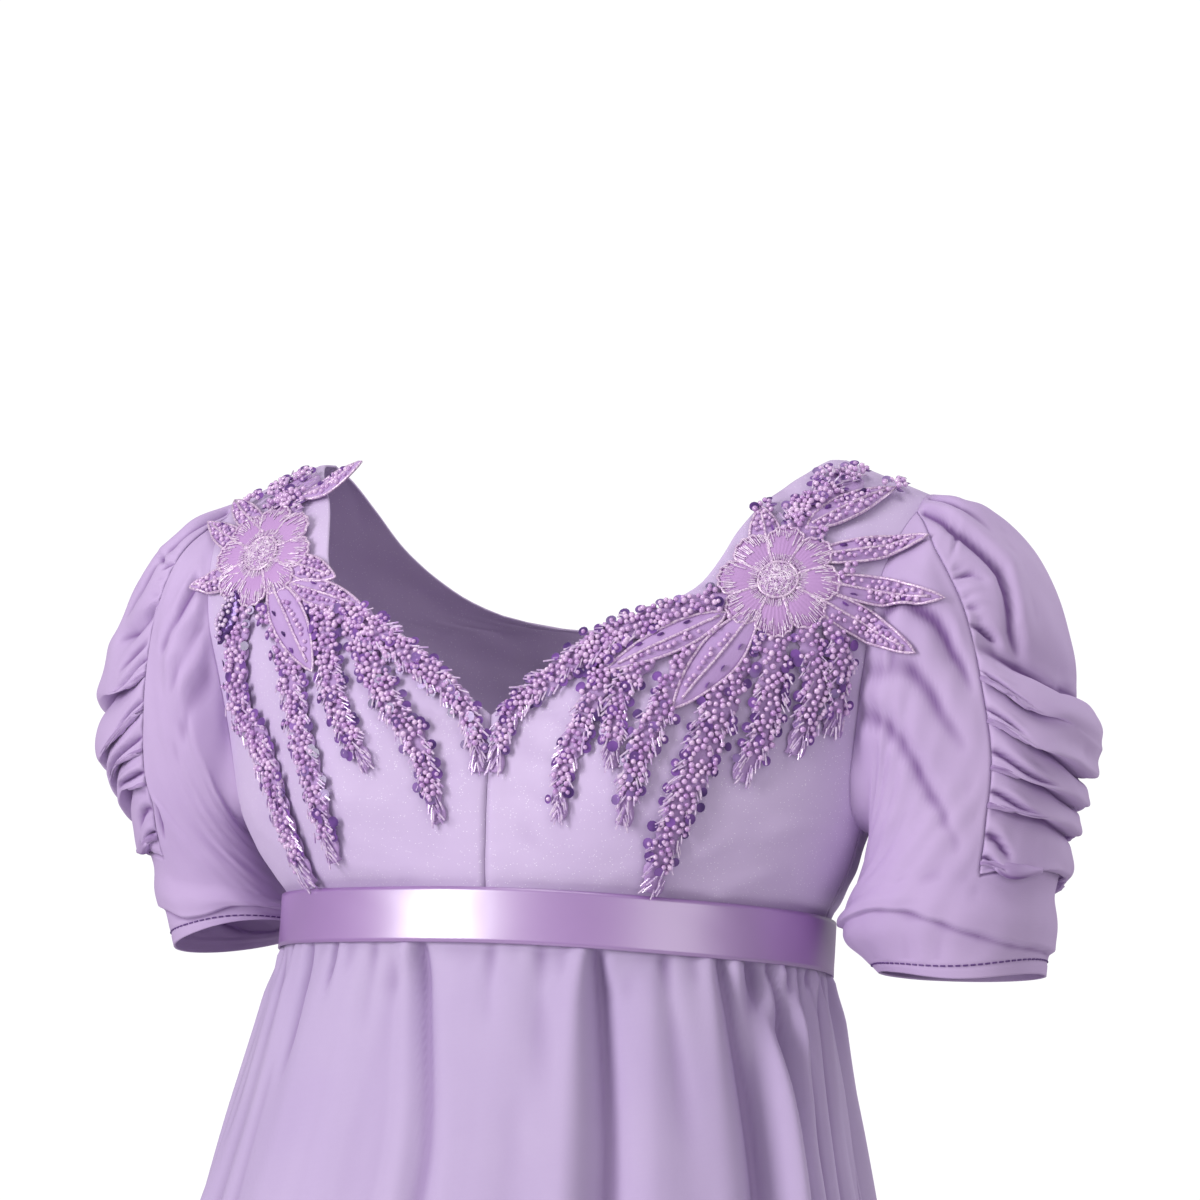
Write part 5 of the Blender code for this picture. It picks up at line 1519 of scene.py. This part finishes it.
class GOWN_OT_cords(bpy.types.Operator):
    """Metallic cord that outlines the petals, the leaves and their veins"""
    bl_idname = "gown.cords"
    bl_label = "Outline cords"

    def execute(self, context):
        for hand, _ in SIDES:
            drape = drape_of(hand)
            x, z, radius = flower_of(hand)
            turn = np.linspace(0.0, 2.0 * np.pi, 192, endpoint=False)
            paths = [(drape.ring((x, z), petal_edge(turn, radius)[1], turn, 2.5), True),
                     (drape.ring((x, z), DISC, turn, 2.8), True)]
            for k in range(PETALS):
                r = np.linspace(DISC + 0.3, radius * 0.80, 10)
                paths.append((drape.ring((x, z), r, math.pi * (2 * k + 1) / PETALS, 2.6), False))
            for number, row in enumerate(LEAVES[hand]):
                outline, base, axis, _ = leaf_edge(*row)
                foot = 2.5 if number in BARE_LEAVES[hand] else 1.7
                vein = base + axis * np.linspace(0.06, 0.9, 14)[:, None]
                for line, lift, closed in ((outline, foot, True), (vein, foot + 1.0, False)):
                    paths.append((drape.put(*line.T, np.full(len(line), lift)), closed))
            finish_piece(tubes("Lace_cord_" + hand, paths, CORD_RADIUS), paint("cord"))
        return {"FINISHED"}


def bead_spray(hand, number, chance, seeds, bugles, cups):
    """Beads of one spray: seeds over its net, sequins along its edges, bugles at its end."""
    drape = drape_of(hand)
    line, ahead, half = spray_line(SPRAYS[hand][number], 1.0)
    length = len(line) - 1.0
    last = max(length - TIP, 0.7 * length)

    def reach(run, sign):
        return half[int(min(max(run, 0.0), length))] * float(lobe(run, sign, number))

    def spot(run, off):
        k = min(max(run, 0.0), length)
        i = min(int(k), len(line) - 2)
        return line[i] + (line[i + 1] - line[i]) * (k - i) + beside_way(ahead[i]) * off, ahead[i]

    for run, off in scatter(chance, (0.0, -12.0), (last, 12.0), SEED_GAP, int(length * 80),
                            lambda p: abs(p[1]) < reach(p[0], p[1]) - 0.4):
        q, a = spot(run, off)
        if chance.random() < BARE_SHARE or not clear_of(hand, q):
            continue
        crown = 1.0 - min(abs(off) / reach(run, off), 1.0) ** 2
        high = 2.2 + 1.5 * crown + chance.uniform(-0.4, 1.2)
        seeds.append(drape.spot(*q, high, a, chance.uniform(0.84, 1.14)))
    run, sign = 2.0, 1
    while run < last + 4.0:
        inner = chance.random() < 0.2
        off = chance.uniform(-0.4, 0.4) if inner else chance.uniform(0.98, 1.22)
        q, a = spot(run, sign * reach(run, sign) * off)
        if clear_of(hand, q, spare=1.4):
            high = (3.4 if inner else 2.0) + chance.uniform(0.0, 0.8)
            size = chance.uniform(0.8, 1.05)
            cups.append(drape.spot(*q, high, a, size, tilt=(sign, chance.uniform(0.1, 0.5))))
            if chance.random() < 0.6:
                seeds.append(drape.spot(*q, high + 1.3, a, 0.8))
        run += chance.uniform(*SEQUIN_STEP)
        sign = -sign if chance.random() < 0.8 else sign
    run = 0.35 * length
    while run < length + 0.5:
        for sign in (-1, 1):
            at_tip = run > last
            if not at_tip and chance.random() < 0.35:
                continue
            out = chance.uniform(0.1, 0.9) if at_tip else chance.uniform(0.7, 1.15)
            q, a = spot(run, sign * reach(run, sign) * out)
            if not clear_of(hand, q):
                continue
            fan = chance.uniform(0.1, 0.5) if at_tip else chance.uniform(0.4, 1.0)
            lean = unit(a + beside_way(a) * sign * fan)
            high = 2.8 + chance.uniform(0.0, 1.6)
            bugles.append(drape.spot(*q, high, lean, chance.uniform(0.75, 1.15)))
        run += BUGLE_STEP


def bead_leaf(hand, number, chance, seeds, cups):
    """Beads of one leaf: half of it is filled, or a single row where it lies over sprays."""
    drape = drape_of(hand)
    row = LEAVES[hand][number]
    _, base, axis, way = leaf_edge(*row)
    length = float(np.linalg.norm(axis))
    sign = 1 if number % 2 else -1
    bare = number in BARE_LEAVES[hand]
    foot = 3.4 if bare else 2.7

    def in_leaf(p):
        u = p[0] / length
        if not 0.08 < u < 0.93:
            return False
        h = float(leaf_half(row[4], u)) - LEAF_EDGE
        if bare:
            return 0.25 < u < 0.8 and 0.3 * h < p[1] * sign < 0.3 * h + 2.4
        return (0.8 < p[1] * sign < h) or (0.4 < u < 0.85 and 0.8 < abs(p[1]) < h)

    for run, off in scatter(chance, (0.0, -12.0), (length, 12.0), LEAF_GAP, 1500, in_leaf):
        q = base + axis * run / length + way * off
        if clear_of(hand, q, leaves=False):
            high = foot + chance.uniform(0.0, 0.6)
            seeds.append(drape.spot(*q, high, axis, chance.uniform(0.68, 1.0)))
    for u in (0.3, 0.52, 0.7):
        q = base + axis * u - way * sign * row[4] * 0.24
        if clear_of(hand, q, leaves=False):
            cups.append(drape.spot(*q, foot - 0.4, axis, 0.7, tilt=(-sign, 0.3)))


def bead_cluster(hand, centre, spread, chance, seeds, cups):
    """Round cluster of beads with five sequins at its edge."""
    drape = drape_of(hand)
    for p in scatter(chance, (-spread, -spread), (spread, spread), CLUSTER_GAP, 500,
                     lambda p: math.hypot(*p) < spread):
        q = centre + p
        if clear_of(hand, q):
            high = 2.6 + 1.4 * (1.0 - math.hypot(*p) / spread)
            seeds.append(drape.spot(*q, high, (1, 0), chance.uniform(0.86, 1.14)))
    for k in range(5):
        a = 2.0 * math.pi * (k + chance.random() * 0.5) / 5
        way = np.array((math.cos(a), math.sin(a)))
        if clear_of(hand, centre + spread * way, spare=1.4):
            cups.append(drape.spot(*(centre + spread * way), 2.2, way, 0.92, tilt=(1, 0.4)))


class GOWN_OT_beads(bpy.types.Operator):
    """Seed beads, bugle beads and cup sequins sewn over the sprays and leaves"""
    bl_idname = "gown.beads"
    bl_label = "Beads and sequins"

    def execute(self, context):
        s = settings()
        chance = random.Random(s.stitch_seed)
        for hand, _ in SIDES:
            seeds, bugles, cups = [], [], []
            for number in range(len(SPRAYS[hand])):
                bead_spray(hand, number, chance, seeds, bugles, cups)
            for number in range(len(LEAVES[hand])):
                bead_leaf(hand, number, chance, seeds, cups)
            for x, z, spread in CLUSTERS[hand]:
                bead_cluster(hand, np.array((x, z)), spread, chance, seeds, cups)
            for spots, word, kind, sizes in (
                    (seeds, "seed", "seed beads", (("Radius", s.seed_radius),)),
                    (bugles, "bugle", "bugle beads",
                     (("Radius", s.seed_radius * 0.3), ("Length", s.bugle_length))),
                    (cups, "sequin", "sequins",
                     (("Radius", s.sequin_radius), ("Foot", s.sequin_radius * 0.45),
                      ("Depth", s.sequin_radius * 0.35)))):
                sew_on("Lace_%ss_%s" % (word, hand), kind, spots, word, sizes)
        return {"FINISHED"}


class GOWN_OT_dark_leaf(bpy.types.Operator):
    """Dark sequinned leaf that lies beside the flower of the right motif"""
    bl_idname = "gown.dark_leaf"
    bl_label = "Dark leaf"

    def execute(self, context):
        drape = drape_of("right")
        sheet = leaf_sheet(drape, DARK_LEAF, 2.4, 2.0,
                           lambda u, w: 0.35 * np.cos(u * 50.0) * np.cos(w * 9.0), (24, 13))
        finish_piece(net_item("Lace_dark_leaf", (sheet,)), paint("dark"))
        _, base, axis, way = leaf_edge(*DARK_LEAF)
        length = float(np.linalg.norm(axis))
        chance = random.Random(settings().stitch_seed)
        spots = []
        for run, off in scatter(
                chance, (1.5, -6.0), (length - 2.0, 6.0), 2.3, 900,
                lambda p: -1.5 < p[1] < float(leaf_half(DARK_LEAF[4], p[0] / length)) - 1.0):
            q = base + axis * run / length + way * off
            point, out, _, _ = drape.spot(*q, 5.0, (0, 1), 1.0)
            spots.append((point, out, (0.0, 0.0, 1.0), chance.uniform(0.75, 0.95)))
        sew_on("Lace_dark_leaf_beads", "seed beads", spots, "bugle",
               (("Radius", settings().seed_radius),))
        return {"FINISHED"}


class GOWN_OT_stitching(bpy.types.Operator):
    """Topstitching above the sleeve hems"""
    bl_idname = "gown.stitching"
    bl_label = "Topstitching"

    def execute(self, context):
        for hand, _ in SIDES:
            grid = forms()["sleeve_under_" + hand][0]
            at = int(np.abs(UNDER_ROWS[hand] - HEM_STITCHES).argmin())
            ring, below = (np.concatenate((grid[k], grid[k, :1])) for k in (at, at + 1))
            run = run_along(ring)
            spots = []
            for place in np.arange(0.0, run[-1], STITCH_PITCH):
                point, ahead, down = (np.array([np.interp(place, run, c) for c in part.T])
                                      for part in (ring, np.gradient(ring, axis=0), below - ring))
                out = unit(np.cross(ahead, down))
                out = out * np.sign(out.dot(point - ring.mean(axis=0)))
                spots.append((point + out * 0.25, out, unit(ahead), 1.0))
            sew_on("Hem_stitches_" + hand, "stitches", spots, "thread",
                   (("Radius", 0.00048), ("Length", 0.0025)))
        return {"FINISHED"}


FLOOR_HEIGHT = -1.402       # metres, as all sizes of the stage
FLOOR_RADIUS = 2.4
FLOOR_FADE = (0.7, 2.3)     # from where and to where the floor fades out
WORLD_LIGHT = 0.34
WORLD_SEEN = 0.72           # added to it where the camera sees the backdrop itself
LAMPS = (
    # name, place, aim, size, watts, colour
    ("Key", (-1.34, -2.10, 0.12), (0.0, 0.0, -0.22), (0.9, 1.6), 48.0, (1, 0.99, 1)),
    ("Fill", (1.65, -1.75, -0.1), (0.1, 0.0, -0.25), (1.2, 1.6), 11.0, (1, 0.98, 1)),
    ("Overhead", (0.1, -0.7, 1.7), (0.0, 0.0, -0.2), (1.4, 1.2), 12.0, (1, 1, 1)),
    ("Rim", (1.6, 1.2, 0.9), (0.0, 0.0, -0.2), (1.0, 1.4), 16.0, (0.97, 0.97, 1)),
)
CAMERA_TURN = (19.2, -9.95, 3.6)    # degrees to the wearer's left, above level and of roll
CAMERA_ASIDE = 0.0129               # where it looks: to its right, and the height
CAMERA_AIM = -0.071
CAMERA_AWAY = 2.0
CAMERA_LENS = 109.5                 # mm, for a sensor 36 mm wide


def light_stage(scene):
    """White world and the lamps."""
    scene.world = bpy.data.worlds.new("Studio")
    scene.world.use_nodes = True
    tree = scene.world.node_tree
    sky = tree.nodes["Background"]
    sky.inputs["Color"].default_value = (1.0, 1.0, 1.0, 1.0)
    path = node(tree, "ShaderNodeLightPath")
    power = math_node(tree, "MULTIPLY_ADD", path.outputs["Is Camera Ray"], WORLD_SEEN, WORLD_LIGHT)
    tree.links.new(power, sky.inputs["Strength"])
    for name, place, aim, size, watts, colour in LAMPS:
        lamp = bpy.data.lights.new(name, "AREA")
        lamp.shape = "RECTANGLE"
        lamp.size, lamp.size_y = size
        lamp.energy = watts
        lamp.color = colour
        item = new_item(name, lamp)
        item.location = place
        item.rotation_euler = (Vector(aim) - Vector(place)).to_track_quat("-Z", "Y").to_euler()


def set_camera(scene):
    azimuth, elevation, roll = (math.radians(a) for a in CAMERA_TURN)
    right = Vector((math.cos(azimuth), math.sin(azimuth), 0.0))
    ahead = Vector((-math.sin(azimuth) * math.cos(elevation),
                    math.cos(azimuth) * math.cos(elevation), -math.sin(elevation)))
    up = right.cross(ahead)
    seen = right * CAMERA_ASIDE + Vector((0.0, 0.0, CAMERA_AIM))
    lens = bpy.data.cameras.new("Camera")
    lens.lens, lens.sensor_width, lens.sensor_fit = CAMERA_LENS, 36.0, "HORIZONTAL"
    camera = new_item("Camera", lens)
    rolled = right * math.cos(roll) + up * math.sin(roll)
    above = up * math.cos(roll) - right * math.sin(roll)
    turn = Matrix((rolled, above, -ahead)).transposed().to_4x4()
    camera.matrix_world = Matrix.Translation(seen - ahead * CAMERA_AWAY) @ turn
    scene.camera = camera


class GOWN_OT_stage(bpy.types.Operator):
    """Pale floor, soft studio lights and the camera"""
    bl_idname = "gown.stage"
    bl_label = "Stage"

    def execute(self, context):
        build = bmesh.new()
        bmesh.ops.create_circle(build, cap_ends=True, segments=96, radius=FLOOR_RADIUS)
        mesh = bpy.data.meshes.new("Floor")
        build.to_mesh(mesh)
        build.free()
        mesh.transform(Matrix.Translation((0.0, 0.0, FLOOR_HEIGHT)))
        pale, tree, shader = new_material("Pale floor", (("Roughness", 0.9),))
        place = node(tree, "ShaderNodeTexCoord").outputs["Object"]
        colour = mix_colour(tree, noise(tree, place, 6.0), (0.86, 0.86, 0.86, 1),
                            (0.92, 0.92, 0.92, 1))
        flat = node(tree, "ShaderNodeVectorMath", {0: place, 1: (1.0, 1.0, 0.0)},
                    operation="MULTIPLY")
        reach = node(tree, "ShaderNodeVectorMath", {0: flat.outputs[0]}, operation="LENGTH")
        fade = node(tree, "ShaderNodeMapRange", {
            0: reach.outputs["Value"], "From Min": FLOOR_FADE[0], "From Max": FLOOR_FADE[1],
            "To Min": 1.0, "To Max": 0.0}, interpolation_type="SMOOTHSTEP")
        link_chain(tree, (fade.outputs[0], shader.inputs["Alpha"]),
                   (colour, shader.inputs["Base Color"]))
        mesh.materials.append(pale)
        new_item("Floor", mesh)
        light_stage(context.scene)
        set_camera(context.scene)
        context.scene.view_settings.view_transform = "Standard"
        return {"FINISHED"}


STEPS = (GOWN_OT_bodice, GOWN_OT_sleeves, GOWN_OT_skirt, GOWN_OT_ribbon, GOWN_OT_lace_ground,
         GOWN_OT_flowers, GOWN_OT_cords, GOWN_OT_beads, GOWN_OT_dark_leaf, GOWN_OT_stitching,
         GOWN_OT_stage)


class GOWN_PT_panel(bpy.types.Panel):
    """Steps and settings of the gown"""
    bl_label = "Empire-line Gown"
    bl_idname = "GOWN_PT_panel"
    bl_space_type = "VIEW_3D"
    bl_region_type = "UI"
    bl_category = "Gown"

    def draw(self, context):
        for name in GownSettings.__annotations__:
            self.layout.prop(context.scene.gown, name)
        for step in STEPS:
            self.layout.operator(step.bl_idname)


def register():
    for item in (GownSettings,) + STEPS + (GOWN_PT_panel,):
        bpy.utils.register_class(item)
    bpy.types.Scene.gown = PointerProperty(type=GownSettings)


def unregister():
    del bpy.types.Scene.gown
    for item in reversed((GownSettings,) + STEPS + (GOWN_PT_panel,)):
        bpy.utils.unregister_class(item)


def main():
    register()
    for step in STEPS:
        area, name = step.bl_idname.split(".")
        if getattr(getattr(bpy.ops, area), name)() != {"FINISHED"}:
            raise RuntimeError("%s did not finish" % step.bl_label)


if __name__ == "__main__":
    main()
